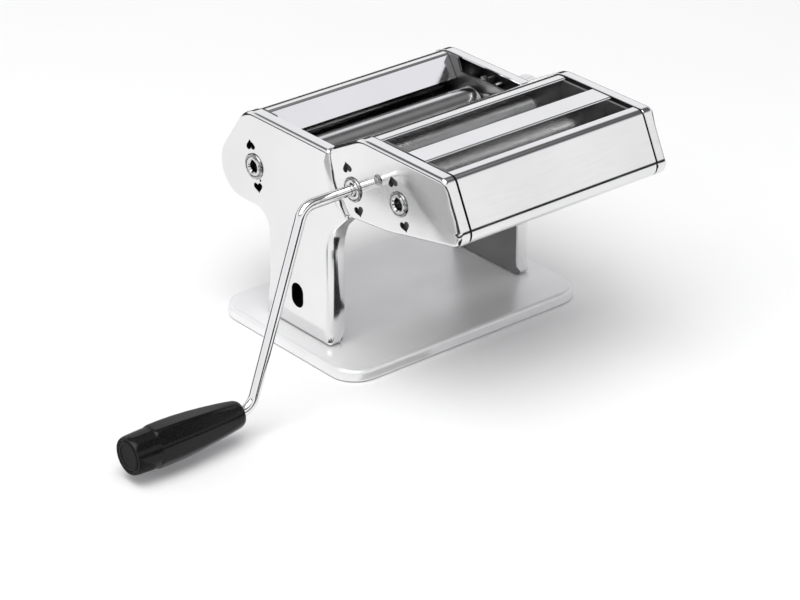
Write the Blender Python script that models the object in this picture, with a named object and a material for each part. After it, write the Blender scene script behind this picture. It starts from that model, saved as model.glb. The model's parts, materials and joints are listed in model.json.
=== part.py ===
"""Hand-cranked pasta roller machine with a lift-off cutter head and a pull-out crank.

Frame: origin at the centre of the base's footprint on the table. +X runs along the rollers
from the crank side to the knob side, -Y points to the cutter head at the front, +Z is up.
Positions in the (Y, Z) plane are written as (y, z) pairs, and `up` counts z from the
underside of the roller housing, so that a taller leg lifts everything above it.
"""

import math

import bmesh
import bpy
from mathutils import Matrix, Vector

MM = 0.001

# ---------------------------------------------------------------- overall sizes
ROLLER_LENGTH = 150.8 * MM  # smooth rollers and cutters, which sets the machine's width
BASE_OVERHANG = 15.0 * MM  # how far the base stands out beyond a side panel
BASE_DEPTH = 147.0 * MM  # along Y
BASE_HEIGHT = 8.6 * MM
LEG_HEIGHT = 76.2 * MM  # base top to the underside of the roller housing
LEG_FRONT = -33.5 * MM  # front edge of the legs
HOUSING_HEIGHT = 68.5 * MM  # underside of the roller housing to its top
HEAD_RISE = 88.5 * MM  # underside of the roller housing to the cutter head's top

# ---------------------------------------------------------------- clearances
GAP = 0.3 * MM  # between pieces that touch or run in each other
HEAD_GAP = 0.9 * MM  # between the cutter head's panels and the body's

# ---------------------------------------------------------------- sheet metal
WALL = 1.2 * MM  # side panels and base
PANEL_DEPTH = 9.0 * MM  # from a side panel's face to its rim
BEND = 3.0 * MM  # outside radius of the bent edges
COVER_WALL = 1.0 * MM
PLATE_WALL = 2.0 * MM  # inner plates
PLATE_EDGE = 0.6 * MM  # inner plate's edge inside a body panel's outline
BASE_CORNER = 20.0 * MM
FOOT_HEIGHT = 0.8 * MM  # how far the rubber feet stand out below the base
FOOT_RADIUS = 9.0 * MM
FOOT_INSET = 24.0 * MM  # from the base's edges to a foot's middle
UNDERPLATE_LIFT = 0.2 * MM  # underplate above the tray's lower edge

# ---------------------------------------------------------------- smooth rollers
ROLLER_RADIUS = 14.5 * MM
END_ROOM = 3.3 * MM  # between a roller's end and the inner plate, for the bearing blocks
CHAMFER = 0.8 * MM
ROLLER_SIDES = 32
WIDEST_SETTING = 4.0 * MM  # gap between the smooth rollers at rest
JOURNAL_RADIUS = 6.0 * MM
SOCKET_RADIUS = 4.2 * MM  # bore that the crank's rod goes into
SOCKET_WALL = 2.6 * MM
SOCKET_DEPTH = 15.0 * MM
BUSH_WALL = 1.6 * MM
RING_FLANGE = 1.4 * MM  # socket ring beyond the panel's face, and beyond its own bore in the panel
ROLLER_TILT = math.radians(15.4)  # how far the front roller lies above the rear one

# ---------------------------------------------------------------- gears
GEAR_WIDTH = 5.6 * MM
ROLLER_TEETH = 12
CUTTER_TEETH = 16
TOOTH = (2.9 * MM, 2.5 * MM)  # root below and tip above the smooth rollers' surface
ROLLER_GEAR = (ROLLER_RADIUS - TOOTH[0], ROLLER_RADIUS + TOOTH[1], 0.46, 0.16)  # tooth widths in pitches
CUTTER_GEAR = (8.9 * MM, 11.7 * MM, 0.50, 0.22)

# ---------------------------------------------------------------- gap adjuster
SPINDLE_RADIUS = 3.6 * MM
SPINDLE_REACH = 26.8 * MM  # adjuster axis to the front roller's axis at rest
CAM_LOW = 6.0 * MM  # snail cam's smallest radius
CAM_RISE = 4.0 * MM  # its rise over CAM_SWEEP
CAM_SWEEP = math.radians(310)
CAM_START = math.radians(30)  # angle past the low point that faces the block at rest
KNOB_SWEEP = math.radians(280)  # from the widest setting to the narrowest
ROLLER_TRAVEL = CAM_RISE * KNOB_SWEEP / CAM_SWEEP
KNOB_RADIUS = 16.0 * MM
KNOB_LENGTH = 19.0 * MM
KNOB_WALL = 3.0 * MM
KNOB_SKIRT = 2.2 * MM
KNOB_HOLLOW = 12.0 * MM  # depth of the ring-shaped hollow inside the knob
BLOCK_HEIGHT = 18.0 * MM
GUIDE_LENGTH = 15.0 * MM  # the block's boss that slides in the inner plate's slot
GUIDE_HEIGHT = 14.0 * MM
SLOT_TRAVEL = 4.0 * MM  # room that the bearing blocks have to slide
INDEX_RADIUS = 13.0 * MM  # plate under the knob
INDEX_WALL = 1.0 * MM

# ---------------------------------------------------------------- body details
TIE_RADIUS = 3.5 * MM
TIE_END = 2.4 * MM  # radius of a tie rod's end in its plate
SCRAPER_DROP = 7.0 * MM  # straight blade below a scraper's edge
SCRAPER_FOOT = (8.0 * MM, 3.0 * MM)  # bent foot of a scraper, along Y and down
RAIL_WIDTH = 8.0 * MM
RAIL_Y = (-27.0 * MM, -33.0 * MM)  # rear and front face of a rail
HOOK_WALL = 2.5 * MM
HOOK_FRONT = -43.0 * MM  # where the hook lies against the head's inner plate
HEART_REACH = 14.7 * MM  # shaft to the middle of a heart
HEART_TILT = math.radians(24.3)  # lean of the head's hearts; the body's lean with its rollers

# ---------------------------------------------------------------- cutter head
CUTTER_SPACING = 20.8 * MM  # between the two axes of a cutter pair
CUTTER_TILT = math.radians(-8.0)  # the mating cutter lies a little lower, in front
DISC_RADIUS = 12.0 * MM
GROOVE_RADIUS = 8.4 * MM
DISC_WIDTH = 5.6 * MM
DISC_PITCH = 12.0 * MM
NARROW_RADIUS = 10.2 * MM
CUTTER_JOURNAL = 4.5 * MM
CUTTER_ROOM = 0.8 * MM  # between a cutter's end and the head's inner plate
HEAD_PLATE_WALL = 2.0 * MM
HEAD_EDGE = 1.6 * MM  # head's inner plate inside its panel's outline
STUD_RADIUS = 3.0 * MM
COMB_DEPTH = 6.0 * MM

# ---------------------------------------------------------------- crank
ROD_RADIUS = 3.75 * MM
ROD_STANDOFF = 41.0 * MM  # panel face to the crank's first bend
ROD_BEND = 13.0 * MM
ARM_LEAN_OUT = 61.5 * MM  # how far the arm leans away from the machine
ARM_LEAN_FRONT = 21.5 * MM
ARM_DROP = 116.0 * MM
ROD_SHOWN = 2.0 * MM  # straight end of the rod between its bend and the grip
ROD_SHORT = 6.0 * MM  # the rod ends this far inside the grip's outer end
GRIP_LENGTH = 86.0 * MM
GRIP_RADIUS = 14.6 * MM
GRIP_SHAPE = (  # share of the length from the rod's end, share of the largest radius
    (0.0, 0.60),
    (0.03, 0.65),
    (0.30, 0.86),
    (0.55, 0.98),
    (0.70, 1.0),
    (0.79, 0.98),
    (0.80, 0.94),
    (0.97, 0.90),
    (1.0, 0.86),
)
CAP_WALL = 1.5 * MM
CAP_SHARE = 0.70  # cap's radius as a share of the grip's

# ---------------------------------------------------------------- sizes that follow
SHOULDER = ROLLER_LENGTH / 2  # middle of the machine to a roller's end
PLATE_INNER = SHOULDER + END_ROOM
PLATE_OUTER = PLATE_INNER + PLATE_WALL
HALF_WIDTH = PLATE_OUTER + GAP + PANEL_DEPTH  # middle of the machine to a side panel's outer face
BASE_LENGTH = 2 * (HALF_WIDTH + BASE_OVERHANG)
HEAD_PLATE_FACE = SHOULDER + CUTTER_ROOM  # inner face of the head's inner plates
GEAR_NEAR = PLATE_OUTER + 1.2 * MM  # the gears' face towards the middle
GEAR_FAR = GEAR_NEAR + GEAR_WIDTH
SOCKET_END = HALF_WIDTH + RING_FLANGE
SOCKET_OUTER = SOCKET_RADIUS + SOCKET_WALL
MAIN_RING = SOCKET_OUTER + GAP + BUSH_WALL  # outer radius of the main socket's ring in the panel
HEAD_RING = SOCKET_OUTER + GAP + 1.0 * MM  # the same for the cutter head's rings
BUSH_OUTER = JOURNAL_RADIUS + GAP + BUSH_WALL
BLOCK_INNER = SHOULDER + 0.6 * MM  # bearing blocks and cams, their faces towards the middle

HOUSING_Z = BASE_HEIGHT + LEG_HEIGHT
BODY_TOP = HOUSING_Z + HOUSING_HEIGHT
HEAD_TOP = HOUSING_Z + HEAD_RISE


def up(height_mm):
    """Height above the table of a point so many millimetres above the housing's underside."""
    return HOUSING_Z + height_mm * MM


def along(start, angle, distance):
    """Point at the distance from start, towards the front and tilted up by the angle."""
    return (start[0] - math.cos(angle) * distance, start[1] + math.sin(angle) * distance)


# ---------------------------------------------------------------- axes, as (y, z)
REAR_ROLLER = (46.6 * MM, up(29.8))
FRONT_ROLLER = along(REAR_ROLLER, ROLLER_TILT, 2 * ROLLER_RADIUS + WIDEST_SETTING)
ADJUSTER = along(FRONT_ROLLER, ROLLER_TILT, SPINDLE_REACH)
WIDE_DRIVE = (-58.9 * MM, up(50.4))
WIDE_MATE = along(WIDE_DRIVE, CUTTER_TILT, CUTTER_SPACING)
NARROW_DRIVE = (-105.0 * MM, up(56.6))
NARROW_MATE = along(NARROW_DRIVE, CUTTER_TILT, CUTTER_SPACING)
CUTTER_PAIRS = {"wide": (WIDE_DRIVE, WIDE_MATE), "narrow": (NARROW_DRIVE, NARROW_MATE)}
LEG_HOLE = (1.6 * MM, BASE_HEIGHT + 26.5 * MM)
TIE_RODS = {
    "tie_rod_leg": (-18 * MM, up(9)),
    "tie_rod_front": (-38 * MM, up(20)),
    "tie_rod_rear": (66 * MM, up(12)),
}
RAIL_Z = (up(14), up(42))
STUD = (-84.4 * MM, up(66.1))
HEAD_TIE = (-147 * MM, up(60))


# ================================================================ building tools
def clear_scene():
    for obj in list(bpy.data.objects):
        bpy.data.objects.remove(obj)


def finish(name, color, metallic, roughness):
    """Material with the piece's own colour, metalness and roughness."""
    material = bpy.data.materials.new(name)
    material.use_nodes = True
    shader = material.node_tree.nodes["Principled BSDF"]
    shader.inputs["Base Color"].default_value = (*color, 1.0)
    shader.inputs["Metallic"].default_value = metallic
    shader.inputs["Roughness"].default_value = roughness
    return material


def add_piece(name, mesh_source, material, parent=None, smooth=40):
    """Object from a bmesh, with outward faces, smooth round faces and one material."""
    bmesh.ops.recalc_face_normals(mesh_source, faces=mesh_source.faces)
    mesh = bpy.data.meshes.new(name)
    mesh_source.to_mesh(mesh)
    mesh_source.free()
    mesh.materials.append(material)
    mesh.shade_smooth()
    mesh.set_sharp_from_angle(angle=math.radians(smooth))
    piece = bpy.data.objects.new(name, mesh)
    bpy.context.scene.collection.objects.link(piece)
    piece.parent = parent
    return piece


def add_axis(name, centre, parent=None):
    """Empty on a joint's axis, which carries the pieces that turn or slide with it."""
    axis = bpy.data.objects.new(name, None)
    axis.empty_display_size = 0.02
    bpy.context.scene.collection.objects.link(axis)
    axis.parent = parent
    start = Vector((0, 0, 0)) if parent is None else parent_place(parent)
    axis.location = Vector((0, *centre)) - start
    return axis


def parent_place(empty):
    """World position of an empty whose parents are neither turned nor scaled."""
    place = Vector(empty.location)
    while empty.parent is not None:
        empty = empty.parent
        place += empty.location
    return place


def angles(sides):
    """Even turns round a circle."""
    return [2 * math.pi * k / sides for k in range(sides)]


def loft(rings, ring_of_rings=False):
    """Skin over rings of equal length: capped at both ends, or closed into a ring."""
    source = bmesh.new()
    rows = [[source.verts.new(point) for point in ring] for ring in rings]
    count = len(rows[0])
    pairs = list(zip(rows, rows[1:]))
    if ring_of_rings:
        pairs.append((rows[-1], rows[0]))
    else:
        source.faces.new(rows[0])
        source.faces.new(rows[-1])
    for low, high in pairs:
        for here in range(count):
            after = (here + 1) % count
            source.faces.new((low[here], low[after], high[after], high[here]))
    return source


def rounded(corners, closed=True, step=math.radians(18)):
    """Points of an outline whose corners (u, v, radius) are rounded with arcs."""
    points = []
    for index, (u, v, radius) in enumerate(corners):
        here = Vector((u, v))
        at_end = not closed and index in (0, len(corners) - 1)
        if at_end or radius == 0:
            points.append(here)
            continue
        to_before = (Vector(corners[index - 1][:2]) - here).normalized()
        to_after = (Vector(corners[(index + 1) % len(corners)][:2]) - here).normalized()
        half = to_before.angle(to_after) / 2
        centre = here + (to_before + to_after).normalized() * (radius / math.sin(half))
        first = here + to_before * (radius / math.tan(half)) - centre
        last = here + to_after * (radius / math.tan(half)) - centre
        sweep = math.pi - 2 * half
        turn = math.copysign(sweep, first.cross(last))
        steps = max(2, math.ceil(sweep / step))
        for number in range(steps + 1):
            points.append(centre + Matrix.Rotation(turn * number / steps, 2) @ first)
    return points


def inset(points, distance):
    """Closed outline moved inwards by the distance."""
    area = sum(points[i - 1].cross(points[i]) for i in range(len(points)))
    inwards = math.copysign(1.0, area)
    moved = []
    for index, here in enumerate(points):
        before = (here - points[index - 1]).normalized()
        after = (points[(index + 1) % len(points)] - here).normalized()
        normal = Vector((-before.y - after.y, before.x + after.x)) * inwards
        moved.append(here + normal * (2 * distance / normal.length_squared))
    return moved


def bent_shell(outline, depth, wall, bend, place):
    """Pressed sheet: a face with a rounded edge and a rim all round, open behind.

    `place(u, v, w)` gives the point at (u, v) in the face and w behind it.
    """
    steps = 2
    layers = []
    for number in range(steps + 1):
        turn = math.radians(90) * number / steps
        layers.append((bend * (1 - math.sin(turn)), bend * (1 - math.cos(turn))))
    layers.append((0.0, depth))
    layers.append((wall, depth))
    inner = bend - wall
    for number in range(steps, -1, -1):
        turn = math.radians(90) * number / steps
        layers.append((bend - inner * math.sin(turn), bend - inner * math.cos(turn)))
    return loft([[place(*point, w) for point in inset(outline, shift)] for shift, w in layers])


def slab(outline, low, high, origin=(0.0, 0.0)):
    """Flat plate of the (y, z) outline, from x = low to x = high, about an origin."""
    return loft([[(x, u - origin[0], v - origin[1]) for u, v in outline] for x in (low, high)])


def turned(profile, sides=20, tube=False):
    """Round piece about the X axis from (x, radius) points, solid or a tube."""
    rings = []
    for x, radius in profile:
        rings.append([(x, radius * math.cos(a), radius * math.sin(a)) for a in angles(sides)])
    return loft(rings, ring_of_rings=tube)


def ring_piece(low, high, bore, outer, sides=20):
    """Plain ring about the X axis."""
    return turned([(low, bore), (low, outer), (high, outer), (high, bore)], sides, tube=True)


def bent_sheet(path, wall, low, high):
    """Bent sheet with the (y, z) path as its middle line, from x = low to x = high."""
    sides = [[], []]
    for index, here in enumerate(path):
        before = (here - path[index - 1]).normalized() if index else None
        after = (path[index + 1] - here).normalized() if index + 1 < len(path) else before
        before = before or after
        normal = Vector((-before.y - after.y, before.x + after.x))
        shift = normal * (wall / normal.length_squared)
        sides[0].append(here + shift)
        sides[1].append(here - shift)
    return slab(sides[0] + sides[1][::-1], low, high)


def circle(centre, radius, sides=20):
    """Outline of a circle in the (y, z) plane."""
    middle = Vector(centre)
    return [middle + Vector((math.cos(a), math.sin(a))) * radius for a in angles(sides)]


def rectangle(centre, length, height, tilt=0.0):
    """Outline of a tilted rectangle, its length towards the front and up by the tilt."""
    turn = Matrix.Rotation(-tilt, 2)
    corners = ((-1, -1), (1, -1), (1, 1), (-1, 1))
    return [Vector(centre) + turn @ Vector((u * length / 2, v * height / 2)) for u, v in corners]


def heart(centre, tilt, width=9.6 * MM, sides=16):
    """Heart-shaped outline that points away along (sin tilt, cos tilt)."""
    points = []
    turn = Matrix.Rotation(math.pi - tilt, 2)
    for number in range(sides):
        t = 2 * math.pi * (number + 0.5) / sides
        u = 16 * math.sin(t) ** 3
        v = 13 * math.cos(t) - 5 * math.cos(2 * t) - 2 * math.cos(3 * t) - math.cos(4 * t)
        points.append(Vector(centre) + turn @ Vector((u, v * 0.86)) * (width / 32))
    return points


def heart_pair(axis, tilt):
    """Two hearts above and below a shaft, each pointing away from it."""
    away = Vector((math.sin(tilt), math.cos(tilt))) * HEART_REACH
    return [heart(Vector(axis) + away, tilt), heart(Vector(axis) - away, tilt + math.pi)]


def punch(piece, name, outlines, low, high):
    """Cuts the (y, z) outlines through a piece between x = low and x = high."""
    cut_away(piece, name, [slab(outline, low, high) for outline in outlines])


def cut_away(piece, name, solids):
    """Cuts the solids from a piece, as one hidden cutter."""
    mesh = bpy.data.meshes.new(name)
    joined = bmesh.new()
    for solid in solids:
        bmesh.ops.recalc_face_normals(solid, faces=solid.faces)
        solid.to_mesh(mesh)
        solid.free()
        joined.from_mesh(mesh)
    joined.to_mesh(mesh)
    joined.free()
    cutter = bpy.data.objects.new(name, mesh)
    bpy.context.scene.collection.objects.link(cutter)
    cutter.hide_render = True
    cutter.display_type = "WIRE"
    cut = piece.modifiers.new(name, "BOOLEAN")
    cut.operation = "DIFFERENCE"
    cut.solver = "EXACT"
    cut.object = cutter


def gear(teeth, root, tip, root_share, tip_share, bore, low, high, phase):
    """Spur gear about the X axis; the shares are a tooth's widths as parts of the pitch."""
    pitch = 2 * math.pi / teeth
    edge = ((root, -root_share), (tip, -tip_share), (tip, tip_share), (root, root_share))
    outer = []
    for tooth in range(teeth):
        for radius, share in edge:
            angle = phase + (tooth + share / 2) * pitch
            outer.append((radius, angle))
    rings = []
    for x, radius_of in ((low, None), (high, None), (high, bore), (low, bore)):
        ring = []
        for radius, angle in outer:
            reach = radius if radius_of is None else radius_of
            ring.append((x, reach * math.cos(angle), reach * math.sin(angle)))
        rings.append(ring)
    return loft(rings, ring_of_rings=True)


def side_name(side):
    return "left" if side < 0 else "right"


def side_plane(side):
    """Places a panel's (y, z) outline at the outer face of one side, with depth inwards."""
    return lambda u, v, w: (side * (HALF_WIDTH - w), u, v)


# ================================================================ outlines, as corners (y, z, radius)
HEAD_REAR = (  # rear edge of the cutter head, from its underside to its top slope
    (-54.0 * MM, up(28.2), 6 * MM),
    (-38.0 * MM, up(51.2), 35 * MM),
    (-32.5 * MM, up(70.7), 9 * MM),
)


def head_outline():
    return rounded(
        [
            *HEAD_REAR,
            (-66 * MM, HEAD_TOP, 24 * MM),
            (-148.5 * MM, HEAD_TOP, 6 * MM),
            (-168.5 * MM, up(47.2), 9 * MM),
            (-92 * MM, up(31.8), 60 * MM),
        ]
    )


def body_outline():
    foot = BASE_HEIGHT + GAP
    front = [(y + HEAD_GAP, z, radius) for y, z, radius in HEAD_REAR]
    top_reach = (BODY_TOP - front[1][1]) / (front[2][1] - front[1][1])
    top_front = front[1][0] + (front[2][0] - front[1][0]) * top_reach
    return rounded(
        [
            (38.5 * MM, foot, 3.3 * MM),
            (33 * MM, HOUSING_Z - 46 * MM, 80 * MM),
            (33 * MM, HOUSING_Z, 14 * MM),
            (107.1 * MM, HOUSING_Z, 22.5 * MM),
            (57.5 * MM, BODY_TOP, 22 * MM),
            (top_front, BODY_TOP, 3.3 * MM),
            front[1],
            (front[0][0], up(27.2), 4 * MM),
            (LEG_FRONT, up(7), 30 * MM),
            (LEG_FRONT + 0.5 * MM, foot, 3.3 * MM),
        ]
    )


# ================================================================ base
def make_base(sheet, rubber):
    half_length, half_depth = BASE_LENGTH / 2, BASE_DEPTH / 2
    signs = ((1, 1), (-1, 1), (-1, -1), (1, -1))
    outline = rounded([(x * half_length, y * half_depth, BASE_CORNER) for x, y in signs])
    tray = bent_shell(
        outline,
        BASE_HEIGHT - FOOT_HEIGHT,
        WALL,
        BEND,
        lambda u, v, w: (u, v, BASE_HEIGHT - w),
    )
    add_piece("base_tray", tray, sheet)

    low = FOOT_HEIGHT + UNDERPLATE_LIFT
    high = low + WALL
    plate_outline = inset(outline, WALL + GAP)
    plate = loft([[(u, v, z) for u, v in plate_outline] for z in (low, high)])
    underplate = add_piece("base_underplate", plate, sheet)
    top = BASE_HEIGHT - WALL - GAP
    edge = 0.5 * MM
    profile = ((0, FOOT_RADIUS - edge), (edge, FOOT_RADIUS), (top, FOOT_RADIUS - 2 * edge))
    holes = []
    for x, y in signs:
        centre = Vector((x * (half_length - FOOT_INSET), y * (half_depth - FOOT_INSET), 0))
        rings = [
            [(radius * math.cos(a), radius * math.sin(a), z) for a in angles(20)]
            for z, radius in profile
        ]
        row = "front" if y < 0 else "rear"
        foot = add_piece(f"foot_{row}_{side_name(x)}", loft(rings), rubber)
        foot.location = centre
        reach, depth = FOOT_RADIUS + GAP, high + WALL
        hole = [centre + Vector((math.cos(a), math.sin(a), 0)) * reach for a in angles(20)]
        holes.append(loft([[point + Vector((0, 0, z)) for point in hole] for z in (-depth, depth)]))
    cut_away(underplate, "foot_holes", holes)


# ================================================================ body
def slot_outline():
    """Slot in which a bearing block's guide slides towards the rear roller."""
    length = GUIDE_LENGTH + SLOT_TRAVEL + 2 * GAP
    centre = along(FRONT_ROLLER, ROLLER_TILT, -SLOT_TRAVEL / 2)
    return rectangle(centre, length, GUIDE_HEIGHT + 2 * GAP, ROLLER_TILT)


def make_body_sides(sheet, steel):
    outline = body_outline()
    tall_hole = rounded(
        [
            (LEG_HOLE[0] + u * 6.3 * MM, LEG_HOLE[1] + v * 9 * MM, 6.2 * MM)
            for u, v in ((-1, -1), (1, -1), (1, 1), (-1, 1))
        ]
    )
    open_top = [
        Vector((-70 * MM, BODY_TOP - 10.3 * MM)),
        Vector((31 * MM, BODY_TOP - 10.3 * MM)),
        Vector((37 * MM, BODY_TOP + 5 * MM)),
        Vector((-70 * MM, BODY_TOP + 5 * MM)),
    ]
    for side in (-1, 1):
        panel = add_piece(
            f"{side_name(side)}_side_panel",
            bent_shell(outline, PANEL_DEPTH, WALL, BEND, side_plane(side)),
            sheet,
        )
        holes = [*heart_pair(REAR_ROLLER, ROLLER_TILT), tall_hole]
        if side < 0:
            holes.append(circle(REAR_ROLLER, MAIN_RING + GAP))
        else:
            holes.append(circle(ADJUSTER, SPINDLE_RADIUS + GAP))
        near, far = HALF_WIDTH - 3 * WALL, HALF_WIDTH + WALL
        punch(panel, f"{panel.name}_holes", holes, *sorted((side * near, side * far)))

        low, high = sorted((side * PLATE_INNER, side * PLATE_OUTER))
        plate = add_piece(
            f"{side_name(side)}_inner_plate", slab(inset(outline, PLATE_EDGE), low, high), steel
        )
        bush = MAIN_RING if side < 0 else BUSH_OUTER
        holes = [
            open_top,
            circle(REAR_ROLLER, bush + GAP),
            slot_outline(),
            circle(ADJUSTER, SPINDLE_RADIUS + GAP),
        ]
        holes += [circle(centre, TIE_END + GAP, 16) for centre in TIE_RODS.values()]
        punch(plate, f"{plate.name}_holes", holes, low - WALL, high + WALL)


def make_covers(sheet, steel):
    """The cover over the rear roller, and the scrapers under the rollers."""
    reach = PLATE_INNER - GAP
    edge = 1.2 * MM
    path = rounded(
        [
            (35.2 * MM, up(52.2), 0),
            (44.6 * MM, BODY_TOP - edge, 2.5 * MM),
            (57.5 * MM - edge / 2, BODY_TOP - edge, 22 * MM - edge),
            (107.1 * MM - 2 * edge, HOUSING_Z + edge, 22.5 * MM - edge),
            (56 * MM, HOUSING_Z + edge, 0),
        ],
        closed=False,
    )
    add_piece("rear_cover", bent_sheet(path, COVER_WALL, -reach, reach), sheet)
    closed = along(FRONT_ROLLER, ROLLER_TILT, -ROLLER_TRAVEL)
    for name, roller, lean in (("rear_scraper", REAR_ROLLER, 62), ("front_scraper", closed, 118)):
        away = Vector((-math.cos(math.radians(lean)), -math.sin(math.radians(lean))))
        start = Vector(roller) + away * (ROLLER_RADIUS + COVER_WALL / 2)
        middle = start + Vector((0, -SCRAPER_DROP))
        end = middle + Vector((-math.copysign(SCRAPER_FOOT[0], away.x), -SCRAPER_FOOT[1]))
        blade = bent_sheet([start, middle, end], COVER_WALL, -reach, reach)
        add_piece(name, blade, steel)
    for name, centre in TIE_RODS.items():
        source = tie_rod(PLATE_OUTER, PLATE_INNER - GAP)
        add_piece(name, source, steel).location = (0, *centre)


def tie_rod(end, shoulder):
    """Rod between two plates, with thinner ends that go into them."""
    profile = [(-end, TIE_END), (-shoulder, TIE_END), (-shoulder, TIE_RADIUS)]
    profile += [(-x, radius) for x, radius in reversed(profile)]
    return turned(profile, 16)


def make_bushes(bronze):
    """Bearings of the rear roller; the left one shows as a ring round the crank socket."""
    near = PLATE_INNER - 0.2 * MM
    ring = add_piece("main_socket_ring", flanged_ring(MAIN_RING, near), bronze)
    ring.location = (0, *REAR_ROLLER)
    source = ring_piece(near, PLATE_OUTER, JOURNAL_RADIUS + GAP, BUSH_OUTER)
    add_piece("rear_roller_bush", source, bronze).location = (0, *REAR_ROLLER)


def flanged_ring(outer, near):
    """Ring round a crank socket, with a flange on the panel, reaching in to x = -near."""
    bore, flange, edge = SOCKET_OUTER + GAP, outer + RING_FLANGE, 0.5 * MM
    profile = [
        (-SOCKET_END, bore),
        (-SOCKET_END, flange - edge),
        (-SOCKET_END + edge, flange),
        (-HALF_WIDTH - GAP, flange),
        (-HALF_WIDTH - GAP, outer),
        (-near, outer),
        (-near, bore),
    ]
    return turned(profile, tube=True)


def make_head_rails(steel):
    """Posts on the inner plates that the cutter head's hooks hang on."""
    rear, front = RAIL_Y
    low, high = RAIL_Z
    outline = [Vector(p) for p in ((front, low), (rear, low), (rear, high), (front, high))]
    for side in (-1, 1):
        near, far = sorted((side * (PLATE_INNER - GAP - RAIL_WIDTH), side * (PLATE_INNER - GAP)))
        add_piece(f"{side_name(side)}_head_rail", slab(outline, near, far), steel)



def make_knob_plate(steel):
    near = HALF_WIDTH + GAP
    plate = ring_piece(near, near + INDEX_WALL, SPINDLE_RADIUS + GAP, INDEX_RADIUS, 32)
    add_piece("index_plate", plate, steel).location = (0, *ADJUSTER)


# ================================================================ smooth rollers and the adjuster
def smooth_barrel(ends):
    """(x, radius) points of a smooth roller between its left end's points and the gear's seat."""
    return [
        *ends,
        (-SHOULDER, ROLLER_RADIUS - CHAMFER),
        (-SHOULDER + CHAMFER, ROLLER_RADIUS),
        (SHOULDER - CHAMFER, ROLLER_RADIUS),
        (SHOULDER, ROLLER_RADIUS - CHAMFER),
        (SHOULDER, JOURNAL_RADIUS),
        (GEAR_FAR, JOURNAL_RADIUS),
    ]


def socket_end():
    """(x, radius) points of a shaft's left end, with the crank's socket in it."""
    return [
        (-SOCKET_END + SOCKET_DEPTH, SOCKET_RADIUS),
        (-SOCKET_END, SOCKET_RADIUS),
        (-SOCKET_END, SOCKET_OUTER),
        (-SHOULDER, SOCKET_OUTER),
    ]


def make_rear_roller(chrome, gear_steel):
    axis = add_axis("rear_roller_axis", REAR_ROLLER)
    add_piece("rear_roller", turned(smooth_barrel(socket_end()), ROLLER_SIDES), chrome, axis)
    wheel = roller_gear(math.pi - ROLLER_TILT)
    add_piece("rear_roller_gear", wheel, gear_steel, axis, smooth=20)


def roller_gear(phase):
    bore = JOURNAL_RADIUS + GAP
    return gear(ROLLER_TEETH, *ROLLER_GEAR, bore, GEAR_NEAR, GEAR_FAR, phase)


def make_front_roller(chrome, gear_steel, steel):
    carriage = add_axis("roller_carriage_axis", FRONT_ROLLER)
    axis = add_axis("front_roller_axis", FRONT_ROLLER, carriage)
    journal = [(-PLATE_OUTER - 1 * MM, JOURNAL_RADIUS), (-SHOULDER, JOURNAL_RADIUS)]
    add_piece("front_roller", turned(smooth_barrel(journal), ROLLER_SIDES), chrome, axis)
    wheel = roller_gear(-ROLLER_TILT + math.pi / ROLLER_TEETH)
    add_piece("front_roller_gear", wheel, gear_steel, axis, smooth=20)

    cam_face = SPINDLE_REACH - CAM_LOW - CAM_RISE * CAM_START / CAM_SWEEP - 1.2 * GAP
    back = BLOCK_HEIGHT / 2
    centre = along(FRONT_ROLLER, ROLLER_TILT, (cam_face - back) / 2)
    flange = rectangle(centre, cam_face + back, BLOCK_HEIGHT, ROLLER_TILT)
    guide = rectangle(FRONT_ROLLER, GUIDE_LENGTH, GUIDE_HEIGHT, ROLLER_TILT)
    face = PLATE_INNER - GAP
    for side in (-1, 1):
        rings = []
        for x, outline in ((BLOCK_INNER, flange), (face, flange), (face, guide), (PLATE_OUTER, guide)):
            rings.append([(side * x, u - FRONT_ROLLER[0], v - FRONT_ROLLER[1]) for u, v in outline])
        block = add_piece(f"{side_name(side)}_bearing_block", loft(rings), steel, carriage)
        low, high = sorted((side * (BLOCK_INNER - WALL), side * (PLATE_OUTER + WALL)))
        punch(block, f"{block.name}_bore", [circle(FRONT_ROLLER, JOURNAL_RADIUS + GAP)], low, high)



def cam_outline():
    """Snail cam about its axis: its radius rises evenly over CAM_SWEEP, then drops back."""
    facing = -ROLLER_TILT  # direction of the block, as an angle from +Y towards +Z
    outline = []
    for sweep in angles(36):
        falling = (2 * math.pi - sweep) / (2 * math.pi - CAM_SWEEP)
        rise = min(sweep / CAM_SWEEP, falling)
        angle = facing - CAM_START + sweep
        outline.append(Vector((math.cos(angle), math.sin(angle))) * (CAM_LOW + CAM_RISE * rise))
    return outline


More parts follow.
